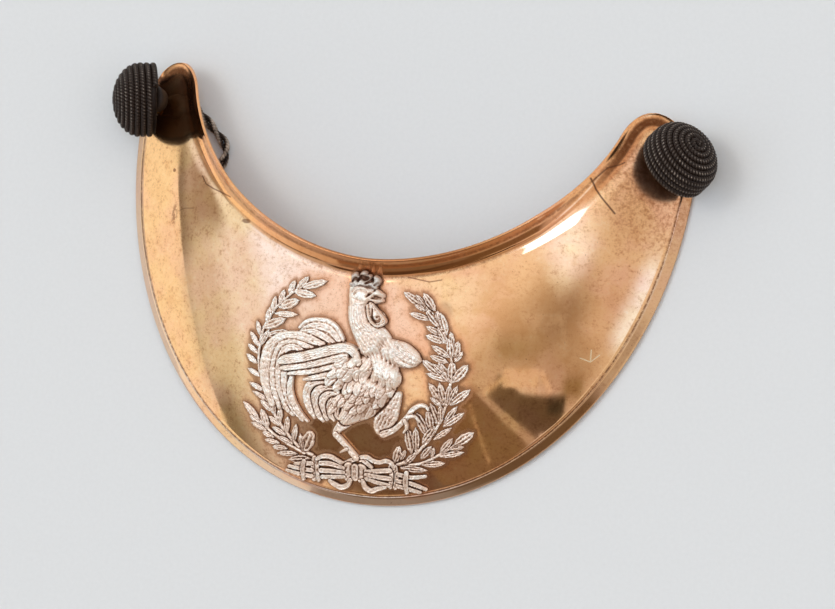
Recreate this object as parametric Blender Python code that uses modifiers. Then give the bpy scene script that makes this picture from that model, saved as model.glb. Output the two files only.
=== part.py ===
"""French officer's gorget: a domed gilt crescent with an applied silver rooster in a laurel wreath.

The crescent lies on a table on its outer rim. Every piece is drawn in the plate's own plan, with X across,
Y towards the wearer's neck and heights measured from the crown of the dome, and the empty gorget_rest then
tips the whole so that the rim meets the table in three places. Sizes below are in millimetres.
"""

import bmesh
import bpy
import numpy as np
from math import atan2, cos, pi, radians, sin
from mathutils import Matrix, Vector

MM = 0.001
GAP = 0.3  # clearance between neighbouring pieces

# Plate: outline in plan
HALF_WIDTH = 80.0  # crown line to the widest point of the rim
WIDEST_Y = 37.9  # height of the widest point above the plan's zero
RIM_DROP = 96.2  # widest point down to the bottom of the rim
RIM_POWER = 2.025  # superellipse exponent of the outer rim
SHOULDER_RISE = 7.1  # the rim goes on upwards above its widest point by this much
SHOULDER_TURN_IN = 1.4  # and comes in by this much
NECK_HALF_WIDTH = 63.2
NECK_BOTTOM_Y = 8.1  # lowest point of the neck edge
NECK_RISE = 50.8
NECK_POWER = 1.851
NECK_TOP_Y = 48.0  # the neck edge turns into the round horn tip here
TIP_REACH = 11.2  # length of the handles that round the horn tip
TIP_END = 0.47  # each side of the tip stops this far along it, which leaves a short chord

# Plate: dome, flange, border and wall
DOME_RADIUS_X = 173.0
DOME_RADIUS_Y = 166.7
DOME_STEEPENING = 1.378e-7  # share of the fourth power of x, which drops the sides faster
DOME_TWIST = -7.8e-6  # share of x squared times y
WALL = 0.9
FLANGE_WIDTH = 4.6  # the neck edge turns outwards over this width
FLANGE_RISE = 2.6
BORDER_WIDTH = 2.7  # flat strip outside the engraved line
BORDER_DROP = 0.4
COLUMNS = 25  # from the middle of the crescent to one horn tip
FLANGE_ROWS = (0.0, 0.9, 1.9, 3.1, 4.8, 7.0)  # distances from the neck edge
BORDER_ROWS = (3.4, 2.7, 0.0)  # distances from the rim
BODY_ROWS = 4
SHORTEST_FULL_RULING = 15.0  # where the crescent is narrower, its rows close up in proportion

# Buttons, posts and pins
BUTTON_X = 74.2
BUTTON_Y = 41.8
BUTTON_RADIUS = 10.3
BUTTON_WALL_HEIGHT = 4.4
BUTTON_HEIGHT = 12.0
BUTTON_STAND_OFF = 1.6
BUTTON_SIDES = 28
BUTTON_DOME_STEPS = 7
POST_RADIUS = 2.2
POST_BELOW = 1.6  # how far the post shows under the plate
PIN_RADIUS = 0.9
PIN_BELOW = 1.2
PIN_INTO_EMBLEM = 1.0  # how far a pin runs up into the stamped sheet
PIN_PLACES = {"pin_top": (4.0, -20.0), "pin_bottom": (0.0, -49.2)}
ROUND_SIDES = 20
HOLE_REACH = 4.0  # a hole's cutter runs this far above and below the upper face

# Cord loops, in the resting frame: X outwards from the middle, Y from the bottom of the rim
CORD_DIAMETER = 2.8
CORD_POINTS = 40
CORD_LIE = 1.45  # height of the centreline where the cord lies on the table
CORD_ROUTE = (
    (73.4, 105.0),
    (70.2, 105.1),
    (67.0, 104.1),
    (64.2, 102.2),
    (61.6, 100.0),
    (59.1, 97.8),
    (56.7, 95.7),
    (54.5, 93.5),
    (53.5, 91.4),
    (53.5, 89.3),
    (54.2, 87.2),
    (55.4, 84.9),
    (57.2, 82.6),
    (59.9, 81.0),
    (63.0, 81.1),
    (65.4, 83.0),
    (66.1, 86.0),
    (64.9, 88.9),
    (62.9, 91.4),
    (61.8, 94.0),
    (62.7, 96.3),
    (65.0, 97.7),
    (68.2, 97.9),
    (73.4, 96.8),
)

# Emblem: relief above the plate
LEAF_CROWN = 1.0
STEM_CROWN = 0.9
RIBBON_CROWN = 1.3
PLUME_CROWN = 1.5
BODY_CROWN = 2.6
LIMB_CROWN = 1.6
LEAF_SHAPE = ((0.0, 0.25), (0.22, 0.8), (0.5, 1.0), (0.78, 0.72), (1.0, 0.08))  # station, share of width
STROKE_SIDES = 3  # bevel resolution of the strokes
STROKE_STEP = 1.3  # distance between the rings of a stroke
VOXEL = 0.33
EMBLEM_FACES = 5900

# Stems of the wreath, from the bands outwards: (x, y, half width)
STEMS = (
    ((11, -46, 0.5), (14, -44.5, 0.5), (17.5, -41.2, 0.5), (20.5, -37.4, 0.45), (22.8, -33, 0.45),
     (24.4, -28, 0.4), (25.3, -22, 0.4), (25.2, -16, 0.35), (23.2, -10, 0.35), (20.2, -5.5, 0.3),
     (17.3, -2.6, 0.3)),
    ((15, -45.4, 0.45), (18.5, -44.4, 0.4), (22.5, -42, 0.4), (25.5, -39.9, 0.35), (27.8, -37.8, 0.3)),
    ((-12.5, -46.2, 0.5), (-16, -44.8, 0.5), (-20.3, -41.2, 0.5), (-24, -36.8, 0.45), (-27, -31.5, 0.45),
     (-29, -26, 0.4), (-29.7, -20, 0.4), (-28.8, -14, 0.35), (-26.4, -9, 0.35), (-23.2, -5.4, 0.3),
     (-19.4, -1.9, 0.3)),
    ((-15, -45.9, 0.45), (-20.5, -43.8, 0.4), (-25.4, -41.2, 0.4), (-29.2, -38.4, 0.3)),
)

# Leaves: (root x, root y, tip x, tip y, half width)
LEAVES = (
    # right branch, from the top down
    (16.6, -2.6, 10.8, 0.7, 1.15), (17.0, -2.4, 14.2, 0.4, 0.7), (19.7, -3.2, 16.2, 1.0, 1.15),
    (18.6, -5.8, 12.9, -4.7, 0.95), (17.6, -3.6, 14.0, -2.4, 0.7), (21.6, -7.6, 17.2, -3.0, 1.2),
    (23.4, -9.2, 21.2, -3.7, 1.15), (20.6, -6.0, 20.4, -3.2, 0.7), (22.4, -9.6, 17.7, -7.7, 0.95),
    (22.9, -11.4, 17.8, -10.1, 1.05), (23.4, -11.6, 21.0, -7.6, 0.9), (25.2, -12.5, 24.4, -8.4, 0.85),
    (26.2, -15.6, 26.6, -10.6, 1.1), (25.0, -15.4, 24.2, -10.2, 1.1), (24.6, -15.2, 19.6, -12.6, 1.0),
    (24.2, -16.6, 19.4, -15.4, 0.95), (26.2, -16.2, 28.0, -13.3, 0.7), (22.4, -20.2, 17.3, -16.7, 1.15),
    (24.8, -21.4, 18.6, -20.2, 0.95), (25.2, -21.8, 21.8, -16.9, 1.25), (25.6, -21.8, 25.4, -16.2, 1.35),
    (26.0, -21.6, 29.6, -16.7, 1.35), (23.6, -20.0, 20.4, -17.4, 0.8), (23.8, -28.0, 19.5, -22.7, 1.2),
    (24.2, -28.0, 22.3, -22.2, 1.1), (24.6, -28.2, 25.2, -22.4, 0.95), (25.2, -27.6, 27.2, -22.5, 0.9),
    (25.6, -27.8, 30.6, -23.2, 1.15), (23.2, -28.6, 20.0, -26.4, 0.7), (22.4, -33.4, 20.2, -28.0, 1.1),
    (23.2, -33.0, 23.0, -28.2, 0.9), (24.2, -32.8, 27.4, -28.0, 0.85), (24.0, -33.8, 29.3, -29.6, 1.0),
    (19.6, -36.8, 16.6, -31.0, 1.25), (20.8, -35.4, 19.6, -29.7, 1.2), (18.6, -38.9, 21.7, -34.1, 1.15),
    (21.6, -37.6, 26.2, -33.9, 0.8), (15.5, -42.0, 14.2, -35.3, 1.3), (16.8, -41.6, 16.5, -35.0, 1.1),
    (18.2, -43.2, 20.9, -39.6, 1.0), (11.0, -45.0, 12.2, -40.7, 1.2), (12.6, -44.2, 13.9, -41.5, 0.7),
    (13.8, -45.2, 16.8, -42.0, 0.85), (12.6, -46.4, 19.9, -46.3, 0.95),
    # right spray
    (27.2, -38.4, 32.0, -34.6, 1.3), (23.4, -41.0, 26.5, -36.8, 0.95), (26.0, -39.8, 29.6, -38.7, 0.7),
    (23.4, -42.0, 29.6, -40.2, 0.85), (18.6, -44.9, 24.6, -43.8, 0.95), (21.0, -42.8, 21.6, -39.8, 0.6),
    # left branch, from the top down
    (-17.8, -1.3, -10.9, 1.2, 1.15), (-19.6, -2.0, -16.5, 1.7, 0.95), (-21.8, -3.4, -20.4, 0.3, 0.9),
    (-20.2, -2.8, -13.9, -3.2, 1.2), (-24.2, -7.4, -18.7, -4.9, 1.4), (-25.4, -9.3, -18.7, -8.8, 0.9),
    (-24.4, -6.6, -23.4, -2.6, 0.9), (-26.4, -9.4, -25.8, -4.6, 0.9), (-27.8, -12.2, -27.2, -7.8, 0.9),
    (-28.8, -13.4, -22.2, -10.3, 1.35), (-27.8, -15.6, -21.6, -13.4, 0.9),
    (-29.6, -15.6, -30.9, -11.9, 0.75), (-29.4, -18.4, -27.0, -13.8, 0.9),
    (-30.0, -18.6, -32.7, -15.0, 0.8), (-30.2, -20.6, -33.3, -18.4, 0.75),
    (-30.2, -23.4, -33.6, -21.2, 0.8), (-28.8, -26.8, -33.0, -25.0, 0.75),
    (-27.4, -30.6, -32.3, -28.8, 0.75), (-26.2, -33.0, -31.2, -31.0, 0.75),
    (-24.8, -35.8, -28.6, -33.2, 0.9), (-24.4, -36.6, -25.0, -32.6, 0.9), (-22.8, -38.6, -22.4, -34.4, 0.9),
    (-22.4, -39.4, -26.0, -37.2, 0.8), (-20.6, -41.4, -20.2, -36.6, 0.9), (-20.6, -41.8, -24.8, -40.0, 0.8),
    (-18.4, -43.2, -17.6, -38.4, 0.9), (-18.6, -43.8, -23.0, -42.4, 0.75),
    (-15.2, -45.2, -12.9, -39.8, 1.9), (-15.6, -45.2, -16.4, -40.8, 0.8),
    # left spray
    (-29.0, -38.8, -33.9, -34.3, 1.0), (-26.2, -40.4, -28.4, -35.6, 1.15),
    (-28.2, -39.8, -32.0, -37.8, 0.75), (-26.8, -41.2, -31.5, -39.6, 0.75),
    (-24.4, -42.8, -27.8, -41.8, 0.8), (-22.8, -44.2, -27.2, -43.8, 0.8), (-20.4, -45.4, -24.8, -45.4, 0.8),
    (-17.4, -46.4, -23.3, -47.0, 0.8), (-13.4, -47.2, -19.8, -48.3, 1.05),
)

# Rooster: (crown, ((x, y, half width), ...))
BODY = (
    (BODY_CROWN, ((-0.9, 0.6, 3.4), (-0.9, -1.2, 3.4), (-1.0, -4.5, 3.1), (-0.6, -7.5, 3.3),
                  (1.8, -10.8, 4.2), (4.6, -14.5, 5.0), (5.6, -19.0, 5.6), (4.8, -23.5, 6.4),
                  (2.0, -27.8, 6.2), (-1.2, -31.5, 4.4), (-2.8, -34.6, 2.2))),
    (BODY_CROWN, ((5.5, -20.0, 4.0), (9.2, -22.5, 3.0))),
    (2.2, ((1.0, -20.5, 3.4), (-3.5, -21.5, 3.8), (-6.5, -24.5, 3.2), (-8.0, -28.0, 3.0),
           (-6.5, -32.0, 2.4))),
    (1.5, ((8.6, -15.0, 3.0), (11.6, -15.9, 3.5), (14.2, -16.4, 3.0), (15.9, -16.5, 1.7))),
)
HEAD = (
    (2.2, ((-3.6, 0.4, 0.9), (-1.0, 0.9, 1.1), (2.2, 0.5, 0.9))),
    (1.8, ((-3.4, 0.8, 0.8), (-4.0, 2.4, 1.0), (-3.5, 3.8, 0.9))),
    (2.0, ((-1.6, 1.0, 1.0), (-1.5, 3.1, 1.1), (-1.4, 4.5, 0.9))),
    (2.0, ((0.4, 1.0, 1.0), (0.8, 3.1, 1.1), (1.0, 4.3, 0.9))),
    (1.8, ((2.0, 0.8, 0.9), (2.9, 2.3, 1.0), (3.3, 3.6, 0.8))),
    (2.0, ((1.6, 0.1, 1.2), (3.8, 0.0, 0.9), (5.6, -0.7, 0.3))),
    (1.7, ((1.6, -2.6, 1.0), (3.8, -2.9, 0.7), (5.4, -2.7, 0.3))),
    (1.9, ((1.8, -4.4, 0.9), (3.2, -6.4, 1.6), (4.8, -7.3, 1.7), (6.7, -7.0, 0.6))),
)
PLUMES = (
    ((-6.0, -14.4, 0.9), (-6.6, -12.6, 1.2), (-8.6, -10.7, 1.4), (-11.2, -10.1, 1.2), (-13.6, -10.2, 0.8),
     (-15.6, -10.3, 0.3)),
    ((-9.6, -15.6, 0.9), (-11.6, -13.4, 1.3), (-14.0, -11.9, 1.3), (-16.8, -11.5, 1.0),
     (-20.0, -12.4, 0.3)),
    ((-13.4, -16.9, 0.9), (-16.6, -14.9, 1.4), (-20.4, -14.5, 1.5), (-24.0, -15.9, 1.6),
     (-26.5, -18.9, 1.8), (-27.2, -22.6, 1.8), (-26.8, -26.6, 1.7), (-25.6, -30.2, 1.4),
     (-24.2, -33.4, 0.8)),
    ((-16.6, -18.7, 0.6), (-19.0, -17.5, 0.8), (-21.8, -17.9, 1.0), (-23.7, -20.2, 1.2),
     (-24.1, -23.6, 1.25), (-23.6, -27.0, 1.25), (-22.5, -30.6, 1.15), (-20.9, -34.0, 0.9),
     (-19.4, -36.4, 0.4)),
    ((-19.6, -19.2, 0.5), (-21.4, -21.2, 0.9), (-21.6, -24.4, 1.1), (-21.2, -28.0, 1.1),
     (-20.0, -31.4, 1.1), (-18.2, -34.4, 0.9), (-16.3, -37.2, 0.35)),
    ((-22.2, -26.6, 0.5), (-20.6, -25.2, 1.0), (-18.2, -24.9, 0.9), (-15.6, -25.6, 0.4)),
    ((-20.0, -26.4, 0.9), (-19.8, -29.6, 1.0), (-17.9, -32.8, 1.1), (-15.6, -35.4, 1.1),
     (-13.3, -37.3, 0.35)),
)
FLAMES = (
    ((-9.0, -25.4, 0.8), (-12.4, -26.7, 1.0), (-14.4, -28.6, 0.8), (-15.1, -31.0, 0.3)),
    ((-8.6, -26.6, 0.9), (-12.4, -28.8, 1.0), (-13.2, -31.6, 1.0), (-12.7, -34.0, 0.8),
     (-11.2, -35.9, 0.3)),
    ((-7.6, -27.6, 0.9), (-10.4, -29.6, 1.0), (-10.9, -32.2, 1.0), (-10.3, -34.4, 0.7), (-9.1, -35.8, 0.3)),
    ((-5.8, -28.2, 0.9), (-8.3, -30.2, 1.0), (-8.7, -32.8, 0.9), (-8.0, -34.9, 0.6), (-7.2, -36.4, 0.3)),
    ((-3.8, -28.8, 0.9), (-6.3, -31.0, 1.0), (-6.8, -33.5, 0.9), (-6.2, -35.6, 0.6), (-5.7, -37.0, 0.3)),
)
PRIMARIES = (
    ((-22.3, -21.4, 0.5), (-20.8, -21.2, 1.1), (-14.6, -19.7, 1.2), (-8.0, -17.4, 1.2), (-2.9, -15.8, 1.0)),
    ((-19.9, -23.2, 0.45), (-18.4, -23.0, 0.8), (-12.8, -21.9, 0.95), (-7.0, -19.8, 0.95),
     (-3.6, -18.2, 0.9)),
    ((-17.2, -24.4, 0.4), (-12.0, -23.6, 0.9), (-6.4, -21.7, 0.9)),
    ((-14.4, -25.6, 0.4), (-10.2, -25.0, 0.85), (-5.4, -23.2, 0.9)),
)
LEGS = (
    ((-1.0, -33.0, 2.6), (-3.0, -35.6, 1.8), (-5.0, -37.9, 1.1), (-5.8, -39.4, 0.85)),
    ((-5.7, -39.4, 0.8), (-3.6, -41.3, 0.75), (-1.5, -43.3, 0.75), (0.3, -45.2, 0.8)),
    ((-2.4, -43.0, 0.5), (-4.2, -44.1, 0.25)),
    ((11.7, -26.6, 0.8), (10.3, -29.8, 1.9), (8.5, -33.2, 2.9), (7.3, -35.6, 2.3), (7.8, -37.6, 1.2)),
    ((7.8, -37.7, 1.0), (10.5, -36.3, 0.8), (12.5, -34.4, 0.7), (14.3, -32.2, 0.7), (15.6, -30.2, 0.65),
     (17.4, -28.9, 0.55), (19.0, -28.9, 0.4), (19.8, -29.8, 0.25)),
    ((14.3, -32.3, 0.5), (16.2, -31.9, 0.45), (17.6, -33.2, 0.25)),
    ((13.6, -33.4, 0.5), (14.2, -35.0, 0.45), (13.4, -36.6, 0.25)),
)
BOW = (
    ((-11.9, -46.7, 0.6), (-12.4, -49.5, 0.6), (-12.0, -52.6, 0.6)),
    ((-10.7, -46.5, 0.6), (-11.1, -49.5, 0.6), (-10.7, -52.6, 0.6)),
    ((9.9, -46.3, 0.6), (10.2, -49.0, 0.6), (9.8, -52.0, 0.6)),
    ((11.2, -46.3, 0.6), (11.6, -49.0, 0.6), (11.2, -52.0, 0.6)),
    ((-11.2, -47.0, 0.5), (-9.5, -46.0, 0.65), (-7.2, -45.8, 0.65), (-5.0, -46.6, 0.6), (-3.3, -47.2, 0.6),
     (-1.5, -46.2, 0.65), (0.7, -45.4, 0.7), (2.8, -45.9, 0.7), (4.6, -47.2, 0.5)),
    ((1.2, -44.9, 0.5), (3.2, -44.6, 0.6), (5.0, -45.4, 0.6), (6.8, -45.6, 0.6), (8.6, -45.0, 0.6),
     (10.2, -45.5, 0.6), (10.8, -46.8, 0.5)),
    ((-1.8, -48.1, 1.7), (-1.9, -50.6, 1.6)),
    ((1.7, -48.1, 1.7), (1.7, -50.4, 1.6)),
    ((-0.1, -47.8, 1.1), (-0.1, -50.6, 1.1)),
    ((-10.0, -47.9, 0.7), (-7.0, -47.7, 0.75), (-3.4, -48.4, 0.6)),
    ((-10.0, -49.9, 0.7), (-7.0, -49.7, 0.7), (-3.4, -49.6, 0.6)),
    ((-9.6, -51.6, 0.6), (-6.5, -51.2, 0.6), (-3.2, -50.8, 0.5)),
    ((3.0, -48.6, 0.6), (6.5, -48.0, 0.7), (9.8, -47.4, 0.7)),
    ((3.0, -49.5, 0.6), (6.5, -49.6, 0.7), (9.8, -49.7, 0.7)),
    ((3.0, -50.5, 0.5), (6.5, -51.2, 0.6), (9.6, -51.6, 0.6)),
    ((-1.4, -51.4, 0.6), (-2.3, -53.0, 0.75), (-4.2, -53.8, 0.8), (-5.9, -53.2, 0.7), (-7.4, -52.4, 0.5)),
    ((2.1, -51.2, 0.6), (2.8, -52.9, 0.8), (4.5, -53.7, 0.8), (6.3, -52.9, 0.7), (8.4, -52.2, 0.5)),
    ((-12.6, -48.3, 0.6), (-15.0, -48.7, 0.65), (-17.6, -49.1, 0.5)),
    ((-12.6, -50.2, 0.6), (-16.0, -50.2, 0.6), (-19.5, -50.0, 0.45)),
    ((-12.6, -51.8, 0.6), (-16.0, -51.7, 0.6), (-20.3, -51.2, 0.4)),
    ((11.8, -48.2, 0.6), (15.6, -48.6, 0.6), (19.4, -47.9, 0.45)),
    ((11.8, -50.0, 0.6), (15.6, -50.3, 0.6), (19.6, -51.4, 0.45)),
    ((11.8, -51.4, 0.6), (15.0, -51.9, 0.6), (18.0, -52.4, 0.45)),
    ((-15.0, -48.0, 0.6), (-15.4, -50.5, 0.75), (-15.2, -53.0, 0.5)),
    ((14.3, -47.6, 0.7), (14.0, -50.3, 0.8), (14.4, -52.8, 0.6)),
)

# Colours: base colour, metallic, roughness
GILT = ((0.70, 0.42, 0.20, 1.0), 1.0, 0.28)
SILVER = ((0.62, 0.54, 0.49, 1.0), 1.0, 0.35)
BLACK_CORD = ((0.03, 0.025, 0.022, 1.0), 0.0, 0.6)
BRASS = ((0.55, 0.38, 0.20, 1.0), 1.0, 0.45)


def clear_scene():
    for item in list(bpy.data.objects):
        bpy.data.objects.remove(item, do_unlink=True)


def new_collection(name):
    made = bpy.data.collections.new(name)
    bpy.context.scene.collection.children.link(made)
    return made


def finish_of(name, look):
    colour, metallic, roughness = look
    made = bpy.data.materials.new(name)
    made.use_nodes = True
    shader = made.node_tree.nodes["Principled BSDF"]
    shader.inputs["Base Color"].default_value = colour
    shader.inputs["Metallic"].default_value = metallic
    shader.inputs["Roughness"].default_value = roughness
    return made


def add_object(name, mesh, collection, material=None):
    made = bpy.data.objects.new(name, mesh)
    collection.objects.link(made)
    if material:
        mesh.materials.append(material)
    return made


def combine(item, other, operation):
    boolean = item.modifiers.new(other.name, "BOOLEAN")
    boolean.operation = operation
    boolean.object = other
    boolean.solver = "EXACT"


def evaluated_mesh(item):
    """The item's mesh with its modifiers or bevel worked in, and the item removed."""
    graph = bpy.context.evaluated_depsgraph_get()
    mesh = bpy.data.meshes.new_from_object(item.evaluated_get(graph))
    mesh.transform(item.matrix_world)
    bpy.data.objects.remove(item, do_unlink=True)
    return mesh


# ---- outline and surface of the plate, all in millimetres ----


def along(points, count):
    """Points spaced evenly by length along a polyline."""
    points = np.asarray(points, float)
    steps = np.linalg.norm(np.diff(points, axis=0), axis=1)
    reached = np.concatenate([[0.0], np.cumsum(steps)])
    wanted = np.linspace(0.0, reached[-1], count)
    return np.column_stack([np.interp(wanted, reached, column) for column in points.T])


def superellipse(half_width, rise, power, sweep):
    return half_width * np.sin(sweep) ** (2 / power), rise * np.cos(sweep) ** (2 / power)


def tip_curve(shares):
    """The round horn tip, from the top of the neck edge to the top of the shoulder."""
    neck_cos = ((NECK_BOTTOM_Y + NECK_RISE - NECK_TOP_Y) / NECK_RISE) ** (NECK_POWER / 2)
    neck_sweep = np.arccos(neck_cos)
    x, _ = superellipse(NECK_HALF_WIDTH, NECK_RISE, NECK_POWER, neck_sweep)
    before, _ = superellipse(NECK_HALF_WIDTH, NECK_RISE, NECK_POWER, neck_sweep - 0.01)
    start = np.array([x, NECK_TOP_Y])
    rise = NECK_RISE * (np.cos(neck_sweep - 0.01) ** (2 / NECK_POWER) - neck_cos ** (2 / NECK_POWER))
    leaving = np.array([x - before, rise])
    end = np.array([HALF_WIDTH - SHOULDER_TURN_IN, WIDEST_Y + SHOULDER_RISE])
    arriving = np.array([2 * SHOULDER_TURN_IN, -SHOULDER_RISE])
    handle_1 = start + TIP_REACH * leaving / np.linalg.norm(leaving)
    handle_2 = end - TIP_REACH * arriving / np.linalg.norm(arriving)
    k = np.asarray(shares, float)[:, None]
    first_half = (1 - k) ** 3 * start + 3 * (1 - k) ** 2 * k * handle_1
    return first_half + 3 * (1 - k) * k**2 * handle_2 + k**3 * end


def neck_side(tip_share):
    """Right half of the neck edge, from its lowest point round onto the horn tip."""
    top_cos = ((NECK_BOTTOM_Y + NECK_RISE - NECK_TOP_Y) / NECK_RISE) ** (NECK_POWER / 2)
    x, fall = superellipse(NECK_HALF_WIDTH, NECK_RISE, NECK_POWER, np.linspace(0.0, np.arccos(top_cos), 80))
    edge = np.column_stack([x, NECK_BOTTOM_Y + NECK_RISE - fall])
    return np.vstack([edge[:-1], tip_curve(np.linspace(0.0, tip_share, 24))])


def rim_side(tip_share):
    """Right half of the outer rim, from the bottom up over the shoulder onto the horn tip."""
    x, fall = superellipse(HALF_WIDTH, RIM_DROP, RIM_POWER, np.linspace(0.0, pi / 2, 120))
    k = np.linspace(0.0, 1.0, 12)[1:-1]
    shoulder = np.column_stack([HALF_WIDTH - SHOULDER_TURN_IN * k**2, WIDEST_Y + SHOULDER_RISE * k])
    tip = tip_curve(np.linspace(1.0, 1 - tip_share, 24))
    return np.vstack([np.column_stack([x, WIDEST_Y - fall]), shoulder, tip])


def both_halves(half):
    mirrored = half[::-1] * np.array([-1.0, 1.0])
    return np.vstack([mirrored[:-1], half])


def distance_to(line, x, y):
    """Distance of each plan point to a polyline."""
    start, step = line[:-1], np.diff(line, axis=0)
    shape = np.shape(x)
    point = np.column_stack([np.ravel(x), np.ravel(y)])[:, None, :]
    share = np.clip(((point - start) * step).sum(2) / (step**2).sum(1), 0, 1)
    nearest = start + share[..., None] * step
    return np.linalg.norm(point - nearest, axis=2).min(1).reshape(shape)


NECK_LINE = along(both_halves(neck_side(0.75)), 160)
RIM_LINE = along(both_halves(rim_side(0.05)), 160)


def dome(x, y):
    round_fall = x**2 / (2 * DOME_RADIUS_X) + y**2 / (2 * DOME_RADIUS_Y)
    return -(round_fall + DOME_STEEPENING * x**4 + DOME_TWIST * x**2 * y)


def surface(x, y):
    """Height of the plate's upper face: the dome, its out-turned neck flange and its falling border."""
    inward = np.clip(1 - distance_to(NECK_LINE, x, y) / FLANGE_WIDTH, 0, 1)
    outward = np.clip(1 - distance_to(RIM_LINE, x, y) / BORDER_WIDTH, 0, 1)
    return dome(x, y) + FLANGE_RISE * inward**2 - BORDER_DROP * outward


def dome_normal(x, y):
    slope_x = x / DOME_RADIUS_X + 4 * DOME_STEEPENING * x**3 + 2 * DOME_TWIST * x * y
    slope_y = y / DOME_RADIUS_Y + DOME_TWIST * x**2
    normal = np.stack([slope_x, slope_y, np.ones_like(np.asarray(x, float))], axis=-1)
    return normal / np.linalg.norm(normal, axis=-1, keepdims=True)


def on_plate(x, y, lift):
    """The point that stands off the upper face by lift, along the dome's normal."""
    x, y = np.asarray(x, float), np.asarray(y, float)
    foot = np.stack([x, y, surface(x, y)], axis=-1)
    return foot + dome_normal(x, y) * np.asarray(lift, float)[..., None]


# ---- plate ----


def rulings():
    """Plan points of the plate's mesh: one row of points across the crescent for each column along it."""
    neck = both_halves(along(neck_side(TIP_END), COLUMNS))
    rim = both_halves(along(rim_side(TIP_END), COLUMNS))
    columns = []
    for inner, outer in zip(neck, rim):
        length = np.linalg.norm(outer - inner)
        squeeze = min(1.0, length / SHORTEST_FULL_RULING)
        near = [squeeze * row / length for row in FLANGE_ROWS]
        far = [1 - squeeze * row / length for row in BORDER_ROWS]
        body = list(np.linspace(near[-1], far[0], BODY_ROWS + 2))[1:-1]
        shares = np.array(near + body + far)[:, None]
        columns.append(inner + shares * (outer - inner))
    return np.array(columns)


def make_plate(collection, cutters, material):
    plan = rulings()
    columns, rows = plan.shape[:2]
    heights = surface(plan[..., 0], plan[..., 1])
    shape = bmesh.new()
    points = [
        [shape.verts.new(Vector((*plan[i, j], heights[i, j])) * MM) for j in range(rows)]
        for i in range(columns)
    ]
    for i in range(columns - 1):
        for j in range(rows - 1):
            shape.faces.new((points[i][j], points[i][j + 1], points[i + 1][j + 1], points[i + 1][j]))
    mesh = bpy.data.meshes.new("plate")
    shape.to_mesh(mesh)
    shape.free()
    plate = add_object("plate", mesh, collection, material)
    wall = plate.modifiers.new("wall", "SOLIDIFY")
    wall.thickness = WALL * MM
    wall.offset = -1.0
    wall.use_even_offset = True
    for cutter in cutters:
        combine(plate, cutter, "DIFFERENCE")
    return plate


# ---- posts, pins and buttons ----


def stand_on_plate(item, x, y):
    """Puts the item's own origin on the plate's upper face and its Z along the dome's normal."""
    foot = on_plate(x, y, 0.0)
    normal = Vector(dome_normal(x, y))
    item.location = Vector(foot) * MM
    item.rotation_mode = "QUATERNION"
    item.rotation_quaternion = normal.to_track_quat("Z", "Y")


def make_rod(name, collection, radius, low, high, place, material=None):
    bpy.ops.mesh.primitive_cylinder_add(vertices=ROUND_SIDES, radius=radius * MM, depth=(high - low) * MM)
    rod = bpy.context.object
    rod.name = rod.data.name = name
    rod.data.transform(Matrix.Translation((0, 0, (high + low) / 2 * MM)))
    for owner in list(rod.users_collection):
        owner.objects.unlink(rod)
    collection.objects.link(rod)
    if material:
        rod.data.materials.append(material)
        rod.data.shade_smooth()
        rod.data.set_sharp_from_angle(angle=radians(40))
    else:
        rod.hide_render = True
        rod.display_type = "WIRE"
    stand_on_plate(rod, *place)
    return rod


def make_button(name, collection, place, material):
    """A flat-based button with a short upright side and a domed top, turned about its own axis."""
    sweep = np.linspace(0.0, pi / 2, BUTTON_DOME_STEPS)
    dome_height = BUTTON_HEIGHT - BUTTON_WALL_HEIGHT
    profile = [(BUTTON_RADIUS * sin(a), BUTTON_WALL_HEIGHT + dome_height * cos(a)) for a in sweep]
    profile += [(BUTTON_RADIUS, 0.8), (BUTTON_RADIUS - 0.6, 0.0), (0.0, 0.0)]
    mesh = bpy.data.meshes.new(name)
    edges = [(i, i + 1) for i in range(len(profile) - 1)]
    mesh.from_pydata([(r * MM, 0, z * MM) for r, z in profile], edges, [])
    button = add_object(name, mesh, collection, material)
    turn = button.modifiers.new("turn", "SCREW")
    turn.steps = turn.render_steps = BUTTON_SIDES
    turn.use_merge_vertices = True
    turn.merge_threshold = 0.00005
    turn.use_smooth_shade = True
    stand_on_plate(button, *place)
    button.location += Vector(dome_normal(*place)) * BUTTON_STAND_OFF * MM
    return button


# ---- emblem ----


def smooth_route(points, step):
    """A smooth curve through the points, with all their columns."""
    points = np.asarray(points, float)
    padded = np.vstack([2 * points[0] - points[1], points, 2 * points[-1] - points[-2]])
    rows = []
    for i in range(1, len(padded) - 2):
        a, b, c, d = padded[i - 1 : i + 3]
        count = max(1, int(np.ceil(np.linalg.norm((c - b)[:2]) / step)))
        for t in np.linspace(0.0, 1.0, count, endpoint=False):
            rows.append(b + 0.5 * t * (c - a + t * (2 * a - 5 * b + 4 * c - d + t * (3 * (b - c) + d - a))))
    return np.array(rows + [padded[-2]])


def stroke_mesh(rows, crown):
    """A flattened tapering tube along the rows (x, y, half width), with its axis on the plate."""
    curve = bpy.data.curves.new("stroke", "CURVE")
    curve.dimensions = "3D"
    curve.bevel_depth = MM
    curve.bevel_resolution = STROKE_SIDES
    curve.use_fill_caps = True
    spline = curve.splines.new("POLY")
    spline.points.add(len(rows) - 1)
    for point, (x, y, half_width) in zip(spline.points, rows):
        point.co = (x * MM, y * MM, 0, 1)
        point.radius = max(half_width, 0.05)
    item = bpy.data.objects.new("stroke", curve)
    bpy.context.scene.collection.objects.link(item)
    mesh = evaluated_mesh(item)
    widest = max(row[2] for row in rows)
    mesh.transform(Matrix.Diagonal((1, 1, crown / widest, 1)))
    return mesh


def leaf_rows(root_x, root_y, tip_x, tip_y, half_width):
    return [
        (root_x + (tip_x - root_x) * t, root_y + (tip_y - root_y) * t, half_width * share)
        for t, share in LEAF_SHAPE
    ]


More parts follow.
